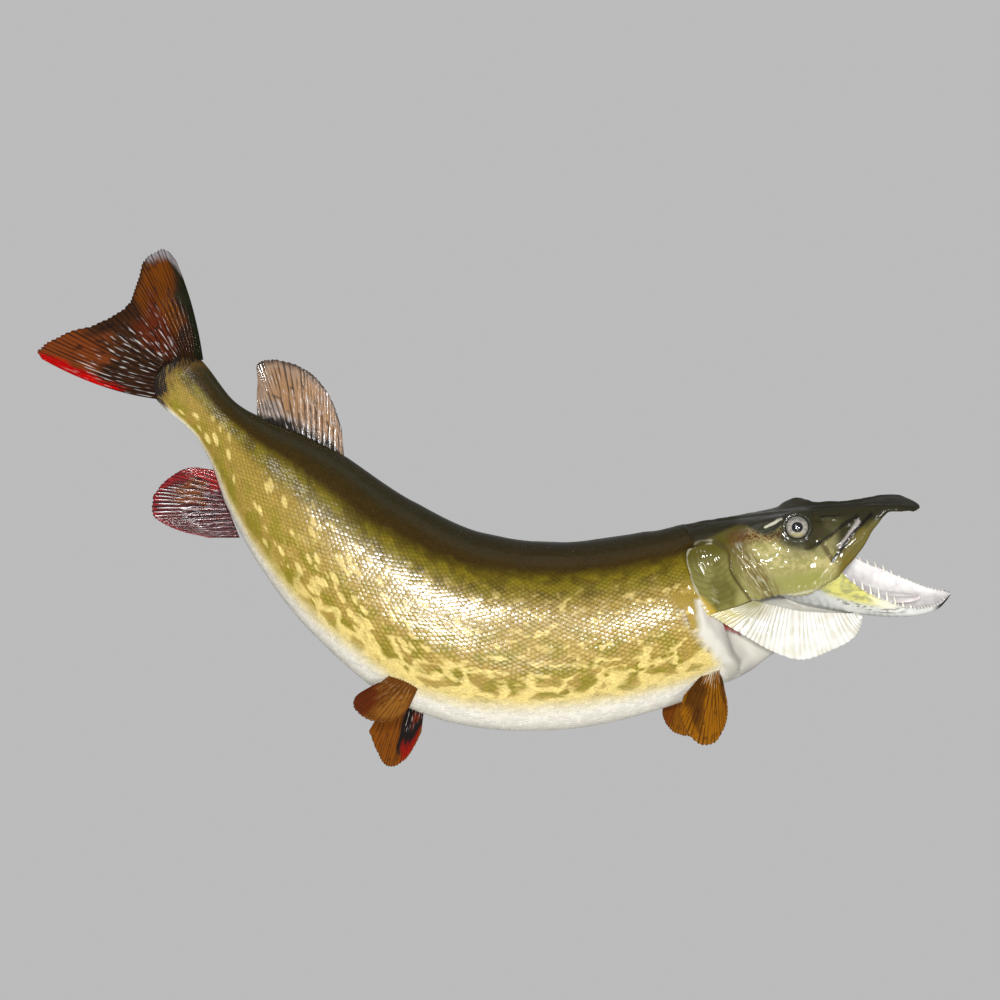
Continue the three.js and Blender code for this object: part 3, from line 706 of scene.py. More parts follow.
scaleCoat = {
    "pitch": profile([(0, 2.3), (0.1, 2.6), (0.3, 3.6), (0.5, 4.2), (0.75, 4.5), (1, 4.1)]),
    "rowShare": 0.94, "lengthShare": 0.86, "widthShare": 0.60, "sides": 10,
    "buried": -0.35, "frontLift": 0.06, "rearLift": 0.46, "dome": 0.14, "tilt": 0.05, "proud": 0.14,
    "bakePatch": 0.003,  # how wide each scale is in the baked colours
    "relief": profile([(0, 0.3), (0.22, 0.4), (0.36, 1), (0.6, 1), (0.76, 0.55), (1, 0.45)]),  # by height
}
scaleLengths = [("scales_tail", 0, 190), ("scales_rear", 190, 360), ("scales_middle", 360, 500),
                ("scales_front", 500, 660)]
arcShare = np.linspace(0, 1, shareSteps + 1)
arcStart = np.concatenate([np.zeros((girths + 1, 1)), arcRows], 1)
turnRows = np.array([np.interp(arcShare, row / row[-1], turnTable) for row in arcStart])


def turnAtArc(t, share):  # the turn at a share of the half girth, folded past the ridge and the belly
    folded = np.where(share < 0, -share, np.where(share > 1, 2 - share, share))
    x, y = np.clip(t, 0, 1) * girths, folded * shareSteps
    i, j = np.minimum(x.astype(int), girths - 1), np.minimum(y.astype(int), shareSteps - 1)
    a, b = x - i, y - j
    turn = (turnRows[i, j] * (1 - a) + turnRows[i + 1, j] * a) * (1 - b)
    turn = turn + (turnRows[i, j + 1] * (1 - a) + turnRows[i + 1, j + 1] * a) * b
    return np.where(share < 0, -turn, np.where(share > 1, 1 - turn, turn))


def scaleForm():  # one scale: a low frustum, its wide face down
    bm = bmesh.new()
    bmesh.ops.create_cone(bm, segments=scaleCoat["sides"], radius1=1, radius2=0.8, depth=1,
                          cap_ends=True, cap_tris=True)
    for edge in bm.edges:  # the rim stays crisp, so each scale shines as a facet of its own
        edge.smooth = not all(v.co.z > 0 and v.co.xy.length > 0.5 for v in edge.verts)
    return bm


def scaleRoots():
    roots = []
    total = lengthTable[-1]
    along, row = 5.0, 0
    while along < total - 2:
        t = np.interp(along, lengthTable, tTable)
        pitch = float(scaleCoat["pitch"](t))
        across = float(halfGirth(t)) / pitch
        reach = int(across / 2) + 2
        for side in (1, -1):
            for k in range(-reach, reach + 1):
                share = 0.5 + (k + 0.5 * (row % 2)) / across
                if -0.35 / across < share < 1 + 0.35 / across:
                    roots.append((along, share, side, pitch))
        along += pitch * scaleCoat["rowShare"]
        row += 1
    return np.array(roots)


def bare(roots):  # under the gill cover, on the shoulder's bare band and under the nape
    t = np.interp(roots[:, 0], lengthTable, tTable)
    turn = turnAtArc(t, roots[:, 1]) * roots[:, 2]
    u, _, w = headPlace(bodyPoint(t, turn)).T
    edge = np.interp(w, [-110, -94, -76, -53, -32, -20, 26, 34, 60], [36, 31, 16, 0, -10, -6, 1, -8, -10])
    return u > edge


allRoots = scaleRoots()
allRoots = allRoots[~bare(allRoots)]
scaleTwist = rng.normal(0, 1, (len(allRoots), 3))
scaleTint = rng.random(len(allRoots))


def scalePiece(name, first, last):
    chosen = (allRoots[:, 0] >= first) & (allRoots[:, 0] < last)
    roots, twist, tint = allRoots[chosen], scaleTwist[chosen], scaleTint[chosen]
    obj = piece(name, scaleForm())
    repeat = obj.modifiers.new("repeat", "ARRAY")
    repeat.count = len(roots)
    repeat.use_relative_offset, repeat.use_constant_offset = False, True
    repeat.constant_offset_displace = (0, 0, 0)
    each = len(obj.data.vertices)
    form = vertexArray(obj.data)
    mesh = applyModifiers(obj)
    along, share, side, pitch = np.repeat(roots, each, 0).T
    twist, tint = np.repeat(twist, each, 0), np.repeat(tint, each)
    a, b, top = np.tile(form, (len(roots), 1)).T  # a runs towards the tail
    middle, top, b = np.hypot(a, b) < 0.1, top > 0, b * side
    size = 1 + 0.05 * twist[:, 2]
    s = along - a * pitch * scaleCoat["lengthShare"] * size
    t = np.interp(s, lengthTable, tTable)
    across = share + b * pitch * scaleCoat["widthShare"] * size / halfGirth(t)
    turn = turnAtArc(t, across) * side
    lift = scaleCoat["frontLift"] + (scaleCoat["rearLift"] - scaleCoat["frontLift"]) * ramp(-1, 1, a)
    tilt = a * twist[:, 0] + b * twist[:, 1]
    lift += middle * scaleCoat["dome"] + scaleCoat["tilt"] * np.clip(tilt, -2, 2)
    folded = np.where(turn > 0.5, 1 - turn, np.where(turn < -0.5, 1 + turn, np.abs(turn)))
    sideNow = np.where((turn > 0.5) | ((turn < 0) & (turn > -0.5)), -1.0, 1.0)
    relief = scaleCoat["relief"](1 - 2 * folded) * np.clip(pitch / 4, 0.6, 1)
    high = np.where(top, scaleCoat["proud"] + lift * relief, scaleCoat["buried"])
    ground = bodyPoint(t, turn, coatDepth)
    nudge = 1e-3
    alongT = bodyPoint(t + nudge, turn, coatDepth) - bodyPoint(t - nudge, turn, coatDepth)
    alongTurn = bodyPoint(t, turn + nudge, coatDepth) - bodyPoint(t, turn - nudge, coatDepth)
    normal = unit(np.cross(alongTurn, alongT))
    outwards = ((ground - spine.at(t)) * normal).sum(1)
    normal *= np.sign(outwards)[:, None]
    setVertices(mesh, (ground + normal * high[:, None]) * mm)
    markBody(mesh, markingPlace(t, folded, sideNow), ground)
    attribute(mesh, "scaleAt", np.stack([a, b, tint], 1))
    # in the baked square the piece runs across, and its two sides fill the upper and the lower half
    patch = scaleCoat["bakePatch"] / 2
    rootU = 0.01 + 0.98 * (along - first) / (last - first)
    rootV = 0.5 + 0.48 * np.clip(share, 0, 1) * side
    uv = np.stack([rootU + a * patch, rootV + b * patch], 1)
    layer = mesh.uv_layers.new(name="OFBake")
    corner = np.empty(len(mesh.loops), np.int32)
    mesh.loops.foreach_get("vertex_index", corner)
    layer.data.foreach_set("uv", np.ascontiguousarray(uv[corner], np.float32).ravel())
    mesh.shade_smooth()
    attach(obj, "root")
    print(name, len(roots), triangles(obj))
    return obj


scalePieces = [scalePiece(*row) for row in scaleLengths]

# ---- fins: fans of raised rays that fork towards the edge

fins = {
    "tail_fin": {
        "base": [(-247, -84, 230), (-266, -84, 231), (-281, -84, 217), (-288, -84, 190)],
        "tip": [(-273, -90, 329), (-284, -93, 340), (-303, -94, 331), (-312, -92, 306), (-322, -89, 285),
                (-351, -83, 268), (-390, -82, 255), (-412, -84, 240), (-408, -86, 231)],
        "bow": [(8, 0, 0), (0, 0, -14)],
        "thickness": (9, 1.3), "rays": 25, "ripple": 0.8, "slot": "fin_brown"},
    "dorsal_fin": {
        "base": [(-105, -84, 128), (-135, -84, 144), (-165, -84, 156), (-193, -84, 172)],
        "tip": [(-108, -86, 160), (-118, -89, 190), (-134, -92, 213), (-149, -93, 223), (-177, -92, 230),
                (-192, -90, 226), (-192, -88, 209), (-193, -86, 195)],
        "thickness": (3.5, 1.2), "rays": 17, "ripple": 0.9, "slot": "fin_brown"},
    "anal_fin": {
        "base": [(-210, -84, 52), (-219, -84, 74), (-228, -84, 96), (-233, -84, 120)],
        "tip": [(-240, -87, 52), (-265, -88, 58), (-283, -90, 65), (-295, -91, 74), (-297, -91, 90),
                (-290, -90, 103), (-278, -88, 114), (-262, -87, 122), (-250, -86, 122)],
        "thickness": (3.5, 1.2), "rays": 15, "ripple": 0.9, "slot": "fin_crimson"},
    "pelvic_fin_right": {
        "base": [(-28, -122, -89), (-42, -124, -87), (-58, -122, -84)],
        "tip": [(-39, -134, -113), (-49, -142, -123), (-64, -150, -126), (-82, -154, -121),
                (-92, -156, -110), (-90, -154, -101), (-80, -149, -94)],
        "thickness": (4, 1.2), "rays": 11, "ripple": 1.0, "slot": "fin_amber"},
    "pelvic_fin_left": {
        "base": [(-25, -54, -106), (-40, -52, -102), (-56, -52, -98)],
        "tip": [(-30, -42, -146), (-40, -38, -166), (-48, -36, -176), (-60, -34, -183), (-69, -34, -180),
                (-75, -35, -168), (-84, -37, -145)],
        "thickness": (4, 1.2), "rays": 11, "ripple": 1.0, "slot": "fin_amber"},
    "pectoral_fin_right": {
        "base": [(266, -111, -76), (262, -112, -72), (257, -111, -75)],
        "tip": [(272, -134, -106), (272, -137, -121), (268, -139, -134), (257, -140, -149),
                (242, -140, -147), (230, -139, -131), (226, -137, -118), (230, -132, -101)],
        "thickness": (5, 1.2), "rays": 13, "ripple": 0.8, "slot": "fin_amber"},
    "pectoral_fin_left": {
        "base": [(250, -58, -76), (243, -57, -76), (236, -57, -78)],
        "tip": [(254, -40, -140), (246, -38, -150), (234, -36, -150), (222, -36, -142), (216, -37, -130),
                (216, -40, -120)],
        "thickness": (5, 1.2), "rays": 12, "ripple": 0.8, "slot": "fin_amber"},
}
finAcross = 44


def rayRidge(rays, p, q):  # 1 on a ray and 0 between two; each ray forks in two half way out
    single = (0.5 + 0.5 * np.cos(2 * np.pi * rays * p)) ** 1.6
    forked = (0.5 + 0.5 * np.cos(4 * np.pi * rays * p + np.pi)) ** 1.4
    return lerp(single, forked, ramp(0.42, 0.72, q))


def sheetPiece(name, surface, thickness, ridgeAt, along, across):
    at = sheetPoint(surface, thickness, across)
    obj = piece(name, closed(bentGrid(along, 2 * across + 2, at)))
    # each point's share along the base and out from it, found again from the surface
    shares = np.meshgrid(np.linspace(0, 1, along + 1), np.linspace(0, 1, across + 1))
    grid = np.stack(shares, -1).reshape(-1, 2)
    tree = treeOf(surface(*grid.T))
    co = vertexArray(obj.data)
    p, q = np.array([grid[tree.find(point)[1]] for point in co]).T
    attribute(obj.data, "finAt", np.stack([p, q, ridgeAt(p, q)], 1))
    setVertices(obj.data, co * mm)
    return obj


def finPiece(name):
    fin = fins[name]
    rays = fin["rays"]
    root, edge = CurveThrough(fin["base"]), CurveThrough(fin["tip"])
    frontBow, rearBow = np.array(fin.get("bow", np.zeros((2, 3))), float)
    lengths = rng.normal(0, 1, 2 * rays + 3)

    def surface(p, q):
        p = lerp(0.005, 0.995, p)
        share = np.clip(p, 0, 1)
        ridge = rayRidge(rays, share, np.ones_like(q))
        uneven = np.interp(share * 2 * rays, np.arange(2 * rays + 3), lengths)
        trim = (0.012 * (1 - ridge) + 0.005 * uneven) * ramp(0.75, 1, q)
        q = q * (1 - trim)
        bow = frontBow * ((1 - share) ** 2)[:, None] + rearBow * (share ** 2)[:, None]
        place = lerp(root.at(share), edge.at(share), q[:, None]) + bow * (2 * q * (1 - q))[:, None]
        wave = fin["ripple"] * np.sin(share * 9.0 + 2.0) * q * q
        return place + np.array([0, 1.0, 0]) * wave[:, None]

    def thickness(p, q):
        ridge = rayRidge(rays, p, q)
        knots = 0.05 * np.sin(q * 130) * ramp(0.25, 0.5, q) * ridge
        edges = ramp(0, 0.02, p) * ramp(0, 0.02, 1 - p)
        return lerp(*fin["thickness"], q ** 0.5) * (0.62 + 0.44 * ridge + knots + 0.2 * (1 - edges))

    ridges = partial(rayRidge, rays)
    obj = sheetPiece(name + "_rays", surface, thickness, ridges, rays * 10, finAcross)
    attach(obj, "root")
    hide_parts(name)
    print(name, triangles(obj))
    return obj


finPieces = {name: finPiece(name) for name in fins}

# ---- gill fans, gill combs, teeth, tongue and glass eyes

fan = {"ribs": 33, "pleat": 0.30, "across": 40, "along": 290}


def fanRib(p, q):  # 1 on a rib of the gill fan; the ribs crowd together towards its rear
    p = np.clip(p, 0, 1)
    place = fan["ribs"] * p ** 0.8 + 0.35 * np.sin(p * 21) + 0.2 * np.sin(p * 47 + 2 * q)
    return (0.5 + 0.5 * np.cos(2 * np.pi * place + 0.5 * np.sin(3 * q))) ** 1.3


def fanPiece(side, name):
    def pleat(p, q):
        rise = ramp(0.02, 0.2, q)
        wave = 0.8 * np.sin(p * 16 + 1) * q * q
        return fan["pleat"] * (1.35 - 0.75 * np.clip(p, 0, 1)) * (fanRib(p, q) - 0.4) * rise + wave

    plain = gillSurface("fan", side, pleat)

    def surface(p, q):
        ridge = fanRib(p, np.ones_like(q))
        return plain(p, q * (1 - 0.012 * (1 - ridge) * ramp(0.8, 1, q)))

    def thickness(p, q):
        return lerp(*gillSheets["fan"]["thickness"], q) * (0.6 + 0.35 * fanRib(p, q))

    obj = sheetPiece(name + "_pleats", surface, thickness, fanRib, fan["along"], fan["across"])
    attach(obj, "root")
    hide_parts(name)
    return obj


fanPieces = [fanPiece(1, "gill_fan_right"), fanPiece(-1, "gill_fan_left")]


def scaled(bm, factor):
    bmesh.ops.scale(bm, vec=(factor, factor, factor), verts=bm.verts)
    return bm


def taperedTube(path, radius, along, around):  # a closed tube with round ends along path(i)
    def at(i, j):
        nudge = 1e-3
        middle = path(i)
        direction = unit(path(i + nudge) - path(i - nudge))
        side = unit(np.cross(direction, np.array([0.13, 0.21, 0.97])))
        angle = 2 * np.pi * j
        spoke = side * np.cos(angle)[:, None] + np.cross(direction, side) * np.sin(angle)[:, None]
        return middle + spoke * radius(i)[:, None]
    return closed(bentGrid(along, around, at))


comb = {"filaments": 22, "radius": 0.62, "arch": 1.5}


def combPiece(side, name):
    surface = gillSurface("comb", side)
    forms = []

    def taper(i):
        return comb["radius"] * (0.3 + 0.9 * np.sqrt(1 - i * 0.97))

    def base(i):
        return surface(np.clip(i, -0.01, 1.01), np.zeros_like(i))

    for k in range(comb["filaments"]):
        p = (k + 0.5) / comb["filaments"]
        reach = 0.9 + 0.1 * rng.random()

        def path(i, p=p, reach=reach):
            q = np.clip(i, -0.05, 1.05) * reach
            return surface(np.full(i.shape, p) + 0.03 * q * q, q)

        forms.append(taperedTube(path, taper, 12, 6))
    arch = taperedTube(base, lambda i: np.full(i.shape, comb["arch"]), 16, 8)
    obj = piece(name + "_filaments", scaled(joined(forms + [arch]), mm))
    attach(obj, "root")
    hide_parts(name)
    return obj


combPieces = [combPiece(1, "gill_comb_right"), combPiece(-1, "gill_comb_left")]

# where the jaw's long and front teeth stand; then each kind's distance in from the rim, and radius
teeth = {
    "longPlaces": (64, 132, 8), "frontPlaces": (136, 164, 3.2), "between": 4, "rooted": 2.4,
    "long": (3.4, 1.4), "short": (2.6, 0.8), "front": (2.4, 0.75), "palateRadius": 0.55,
    # which side, how far it spreads, and how many teeth
    "palateBands": [(0, 4.5, 70), (1, 4, 60), (-1, 4, 60)],
}


def toothForm(root, tip, radius, lean):
    def path(i):
        return root + (tip - root) * i[:, None] + lean * (i * i)[:, None]

    return taperedTube(path, lambda i: radius * (1 - i) ** 0.75 + 0.05, 7, 8)


def jawTooth(u, side, height, inset, radius):
    v = side * (jawRimWidth(u) - inset)
    low = jawRim(u) - teeth["rooted"]
    root, tip = spot(jawPoint, u, v, low), spot(jawPoint, u - 0.5, v - side * 0.6, low + height)
    return toothForm(root, tip, radius, -1.3 * forward)


def jawTeeth():
    forms = []
    for side, tall in ((1, 10.0), (-1, 5.0)):
        for u in np.arange(*teeth["longPlaces"]):
            height = 4 + tall * math.sin(math.pi * (u - 52) / 88) ** 2
            forms.append(jawTooth(u, side, height, *teeth["long"]))
            forms.append(jawTooth(u + teeth["between"], side, 3.4 + 1.2 * rng.random(), *teeth["short"]))
        for u in np.arange(*teeth["frontPlaces"]):
            forms.append(jawTooth(u, side, 3.6 + rng.random(), *teeth["front"]))
    return forms


def palateTeeth():  # three bands of small backward teeth under the roof of the mouth
    forms = []
    for band, reach, count in teeth["palateBands"]:
        for _ in range(count):
            u = 96 + 100 * rng.random()
            width = float(lipWidth(u)) - 6
            v = band * width * 0.62 + (rng.random() - 0.5) * reach * 2 * min(1, width / 16)
            section = headSection(u).at(np.linspace(0.3, 0.7, 161))
            roof = np.interp(v, section[::-1, 1], section[::-1, 2])
            height = 2.2 + 1.8 * rng.random()
            root, tip = spot(headPoint, u, v, roof + 0.7), spot(headPoint, u, v, roof - height)
            forms.append(toothForm(root, tip, teeth["palateRadius"], -1.6 * forward))
    return forms


toothPiece = piece("teeth", scaled(joined(jawTeeth() + palateTeeth()), mm))
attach(toothPiece, "root")
print("teeth", triangles(toothPiece))

tongueHalf = profile([(40, 14), (80, 13), (110, 11), (128, 8), (138, 1.5)])


def tonguePoint(i, j):
    u = lerp(40.0, 138.0, 1 - (1 - i) ** 1.3)
    angle = j * 2 * np.pi
    half = tongueHalf(u)
    groove = 0.9 * np.exp(-(np.sin(angle) * half / 2.2) ** 2)
    groove = groove * ramp(0, 0.4, np.cos(angle)) * ramp(0, 0.1, 1 - i)
    high = 2.3 * (1 + np.cos(angle)) - groove
    return jawPoint(u, half * np.sin(angle), mouthFloor(u) + 2.4 + high)


tongue = piece("tongue_flesh", scaled(closed(bentGrid(90, 48, tonguePoint)), mm))
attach(tongue, "root")
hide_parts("tongue")


cornea = {"rise": 0.9, "radius": 6.5}


def eyePiece(side, name):
    bm = bmesh.new()
    bmesh.ops.create_uvsphere(bm, u_segments=72, v_segments=48, radius=skin["eyeRadius"])
    obj = piece(name + "_glass", bm)
    local = vertexArray(obj.data)
    axis = eyeAxis(side)
    up = unit(np.array([0.0, 0, 1]) - axis * axis[2])
    flat = np.cross(up, axis)
    dome = np.exp(-(np.hypot(local[:, 0], local[:, 1]) / cornea["radius"]) ** 4)
    dome = cornea["rise"] * dome * (local[:, 2] > 0)
    place = eyeCentre(side) + local[:, :1] * flat + local[:, 1:2] * up
    place += (local[:, 2] + dome)[:, None] * axis
    attribute(obj.data, "eyeAt", local)
    setVertices(obj.data, place * mm)
    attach(obj, "root")
    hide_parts(name)
    return obj


eyePieces = [eyePiece(1, "eye_right"), eyePiece(-1, "eye_left")]
print("eyes, teeth and gills made")

# ---- materials


def mathNodes(operation):  # an operator on wires and numbers as Math nodes, and its reflected form
    def plain(self, *other):
        return self.paint.sum(operation, self, *other)

    def reflected(self, other):
        return self.paint.sum(operation, other, self)

    return plain, reflected


class Wire:  # one output of a material's nodes, for use in plain sums
    __add__, __radd__ = mathNodes("ADD")
    __sub__, __rsub__ = mathNodes("SUBTRACT")
    __mul__, __rmul__ = mathNodes("MULTIPLY")
    __truediv__, __rtruediv__ = mathNodes("DIVIDE")
    __pow__, __rpow__ = mathNodes("POWER")
    __abs__ = mathNodes("ABSOLUTE")[0]
    atLeast = mathNodes("MAXIMUM")[0]

    def __init__(self, paint, socket):
        self.paint, self.socket = paint, socket

    def step(self, low, high, start=0.0, end=1.0):  # a smooth step from start to end
        sockets = {"Value": self, "From Min": low, "From Max": high, "To Min": start, "To Max": end}
        return self.paint.node("MapRange", {"interpolation_type": "SMOOTHSTEP"}, sockets)

    def near(self, width, soft):  # 1 where a distance is under width
        return self.step(width - soft, width + soft, 1.0, 0.0)


class Paint:  # a material, and its nodes by one method
    def __init__(self, name, **constants):
        self.material = bpy.data.materials.new(name)
        self.material.use_nodes = True
        self.tree = self.material.node_tree
        self.tree.nodes.clear()
        self.shader = self.tree.nodes.new("ShaderNodeBsdfPrincipled")
        output = self.tree.nodes.new("ShaderNodeOutputMaterial")
        self.tree.links.new(self.shader.outputs[0], output.inputs[0])
        for key, value in constants.items():
            self.shader.inputs[key.replace("_", " ")].default_value = value

    def node(self, kind, settings=None, sockets=None, out=0):
        made = self.tree.nodes.new("ShaderNode" + kind)
        for key, value in (settings or {}).items():
            setattr(made, key, value)
        for key, value in (sockets or {}).items():
            self.plug(made, key, value)
        return Wire(self, made.outputs[out])

    def plug(self, node, key, value):
        socket = next(s for i, s in enumerate(node.inputs) if key in (i, s.identifier, s.name))
        if isinstance(value, Wire):
            self.tree.links.new(value.socket, socket)
        elif socket.type == "RGBA":
            socket.default_value = (*value, 1)
        else:
            socket.default_value = value

    def sum(self, operation, *values):
        return self.node("Math", {"operation": operation}, dict(enumerate(values)))

    def attribute(self, name, out="Vector"):
        return self.node("Attribute", {"attribute_name": name}, out=out)

    def value(self, name):
        return self.attribute(name, "Fac")

    def split(self, vector):
        made = self.node("SeparateXYZ", None, {"Vector": vector}).socket.node
        return [Wire(self, socket) for socket in made.outputs]

    def vector(self, x, y, z):
        return self.node("CombineXYZ", None, {"X": x, "Y": y, "Z": z})

    def vectorSum(self, operation, first, second):
        return self.node("VectorMath", {"operation": operation}, {0: first, 1: second})

    def stretch(self, vector, x, y, z):
        return self.vectorSum("MULTIPLY", vector, (x, y, z))

    def objectPlace(self):
        return self.node("TexCoord", out="Object")

    def noise(self, vector, size, detail=2.0, rough=0.5, out="Fac", twist=0.0):
        sockets = {"Scale": 1 / size, "Detail": detail, "Roughness": rough, "Distortion": twist}
        return self.node("TexNoise", None, {"Vector": vector, **sockets}, out)

    def voronoi(self, vector, size, random, **settings):
        sockets = {"Vector": vector, "Scale": 1 / size, "Randomness": random}
        return self.node("TexVoronoi", settings, sockets)

    def jostle(self, vector, size, amount):  # the vector pushed about by up to that amount
        push = self.vectorSum("ADD", self.noise(vector, size, 1.0, out="Color"), (-0.5, -0.5, -0.5))
        return self.vectorSum("ADD", vector, self.stretch(push, amount, amount, amount))

    def blend(self, first, second, share, way="MIX"):
        sockets = {"Factor_Float": share, "A_Color": first, "B_Color": second}
        return self.node("Mix", {"data_type": "RGBA", "blend_type": way}, sockets, 2)

    def coats(self, colours, colour, *layers):  # colours laid over each other: (colour, how much shows)
        colour = colours.get(colour, colour)
        for tint, share in layers:
            colour = self.blend(colour, colours.get(tint, tint), share)
        return colour

    def shaded(self, colour, level):
        return self.blend(colour, self.vector(level, level, level), 1.0, "MULTIPLY")

    def bump(self, height, distance, strength):
        return self.node("Bump", None, {"Height": height, "Distance": distance * mm, "Strength": strength})

    def finish(self, colour, **others):
        for key, value in {"Base_Color": colour, **others}.items():
            self.plug(self.shader, key.replace("_", " "), value)
        return self.material


def wear(material, *pieces):
    for obj in pieces:
        obj.data.materials.append(material)


bodyColours = {
    "white": (0.64, 0.61, 0.53), "cream": (0.54, 0.43, 0.145), "gold": (0.300, 0.202, 0.038),
    "goldHigh": (0.225, 0.148, 0.016), "olive": (0.135, 0.103, 0.004), "oliveDeep": (0.085, 0.060, 0.003),
    "olivePatch": (0.210, 0.165, 0.012), "redBrown": (0.030, 0.017, 0.002), "back": (0.020, 0.016, 0.005),
    "spot": (0.66, 0.52, 0.18), "spotHigh": (0.44, 0.33, 0.10), "stalkEnd": (0.012, 0.007, 0.005),
    "stalkBrown": (0.085, 0.045, 0.008), "scaleRim": (0.10, 0.06, 0.02), "scaleHighlight": (0.70, 0.57, 0.28),
    "shoulder": (0.54, 0.515, 0.44),
}


def shoulderWhite(paint):
    ragged = paint.noise(paint.attribute("bodyAt"), 9, 2.0) - 0.5
    return (paint.value("shoulder") + ragged * 8.0).step(-16, 2)


def bodyMarkings(paint):  # the trunk's colours, on skin and scales alike
    along, arc, height = paint.split(paint.attribute("bodyAt"))
    flow = paint.vector(along, arc * 1.75, 0.0)
    wander = paint.noise(flow, 70, 2.0) - 0.5
    ragged = paint.noise(flow, 12, 2.0) - 0.5
    h = height + along.step(80, 520, 0.12, 0.0) + wander * 0.06 + ragged * 0.03
    patches = paint.noise(flow, 21, 1.0)
    # cells of cream lines: whole near the belly, broken into beans higher up
    bent = paint.jostle(paint.jostle(flow, 26, 24.0), 11, 6.0)
    cells = paint.voronoi(bent, 30, 1.0, feature="DISTANCE_TO_EDGE")
    line = h.step(0.28, 0.40, 0.15, 0.06)
    net = cells.step(line - 0.05, line + 0.12, 1.0, 0.0)
    breakUp = paint.noise(flow, 15, 1.0)
    keep = h.step(0.32, 0.46, 0.30, 0.56)
    net = net * breakUp.step(keep - 0.02, keep + 0.07) * along.step(190, 290)
    beans = paint.voronoi(paint.jostle(paint.stretch(flow, 0.66, 1.0, 1.0), 12, 3.5), 13, 0.85)
    beans = beans.step(0.24, 0.40, 1.0, 0.0) * breakUp.step(0.24, 0.34) * h.step(0.32, 0.38)
    beans = beans * h.step(0.70, 0.60) * along.step(560, 330, 0.25, 1.0)
    net = net.atLeast(beans) * h.step(0.70, 0.62)
    c = bodyColours
    colour = paint.coats(
        c, "gold",
        ("goldHigh", h.step(0.48, 0.64).atLeast(along.step(300, 60, 0.0, 0.6))),
        ("olivePatch", patches.step(0.43, 0.60) * h.step(0.62, 0.42)),
        (paint.blend(c["olive"], c["oliveDeep"], patches.step(0.40, 0.65)), h.step(0.59, 0.67)),
        ("redBrown", h.step(0.69, 0.77)),
        (paint.blend(c["spot"], c["spotHigh"], h.step(0.46, 0.68)), net * 0.85),
        ("cream", h.step(0.25, 0.34, 1.0, 0.0)),
        ("white", h.step(0.205, 0.315, 1.0, 0.0)),
        ("back", h.step(0.76, 0.92)))
    speck = paint.noise(flow, 2.2, 1.0).step(0.3, 0.7, 0.86, 1.12)
    colour = paint.shaded(colour, h.step(0.20, 0.36, 1.0, 0.0).atLeast(speck))
    fray = paint.noise(paint.stretch(flow, 0.4, 1.0, 1.0), 5.0, 2.0).step(0.3, 0.7, -5.0, 5.0)
    root = paint.value("tailGap") + fray
    rootCoats = ("stalkBrown", root.step(7.0, 22.0, 0.8, 0.0)), ("stalkEnd", root.step(5.0, 9.0, 1.0, 0.0))
    return paint.coats(c, colour, *rootCoats), h


lacquer = {"Coat_Weight": 0.9, "Coat_Roughness": 0.06, "Coat_IOR": 1.5, "IOR": 1.12}


def backGloss(height):  # the back is duller than the flanks
    return height.step(0.60, 0.74, lacquer["Coat_Weight"], 0.28)


def scaleMaterial():
    paint = Paint("lacquered scales", **{**lacquer, "Coat_Roughness": 0.18})
    colour, h = bodyMarkings(paint)
    a, b, tint = paint.split(paint.attribute("scaleAt"))
    radius = (a * a + b * b) ** 0.5
    rim = radius.step(0.72, 0.98) * a.step(-0.5, 0.3) * h.step(0.25, 0.36)
    along = paint.split(paint.attribute("bodyAt"))[0]
    # a pale dot painted at the middle of each scale: a painted highlight
    highlightDots = radius.step(0.55, 0.1) * h.step(0.34, 0.44) * h.step(0.74, 0.54)
    highlightDots = highlightDots * along.step(180, 360, 0.4, 1.0)
    colour = paint.coats(bodyColours, colour, ("scaleRim", rim * 0.22), ("scaleHighlight", highlightDots * 0.24))
    colour = paint.shaded(colour, tint.step(0.0, 1.0, 0.92, 1.07))
    colour = paint.coats(bodyColours, colour, ("shoulder", shoulderWhite(paint) * 0.9))
    return paint.finish(colour, Roughness=tint.step(0.0, 1.0, 0.28, 0.38), Coat_Weight=backGloss(h))


headColours = {
    "crown": (0.020, 0.018, 0.008), "cover": (0.150, 0.138, 0.038), "coverDeep": (0.070, 0.060, 0.009),
    "cheek": (0.245, 0.225, 0.075), "cheekGold": (0.36, 0.31, 0.13), "green": (0.225, 0.225, 0.055),
    "red": (0.075, 0.020, 0.003), "bill": (0.026, 0.022, 0.007), "billEdge": (0.120, 0.092, 0.016),
    # the silver colour is a highlight painted along the cheek's folds
    "gold": (0.110, 0.092, 0.026), "foldHighlight": (0.60, 0.59, 0.52), "pale": (0.52, 0.49, 0.38),
    "mauve": (0.33, 0.30, 0.28), "black": (0.006, 0.005, 0.004), "yellow": (0.46, 0.31, 0.04),
    "brown": (0.065, 0.048, 0.012), "fold": (0.125, 0.090, 0.028), "shade": (0.030, 0.032, 0.014),
    "mask": (0.018, 0.018, 0.009), "olive": (0.115, 0.105, 0.045),
}


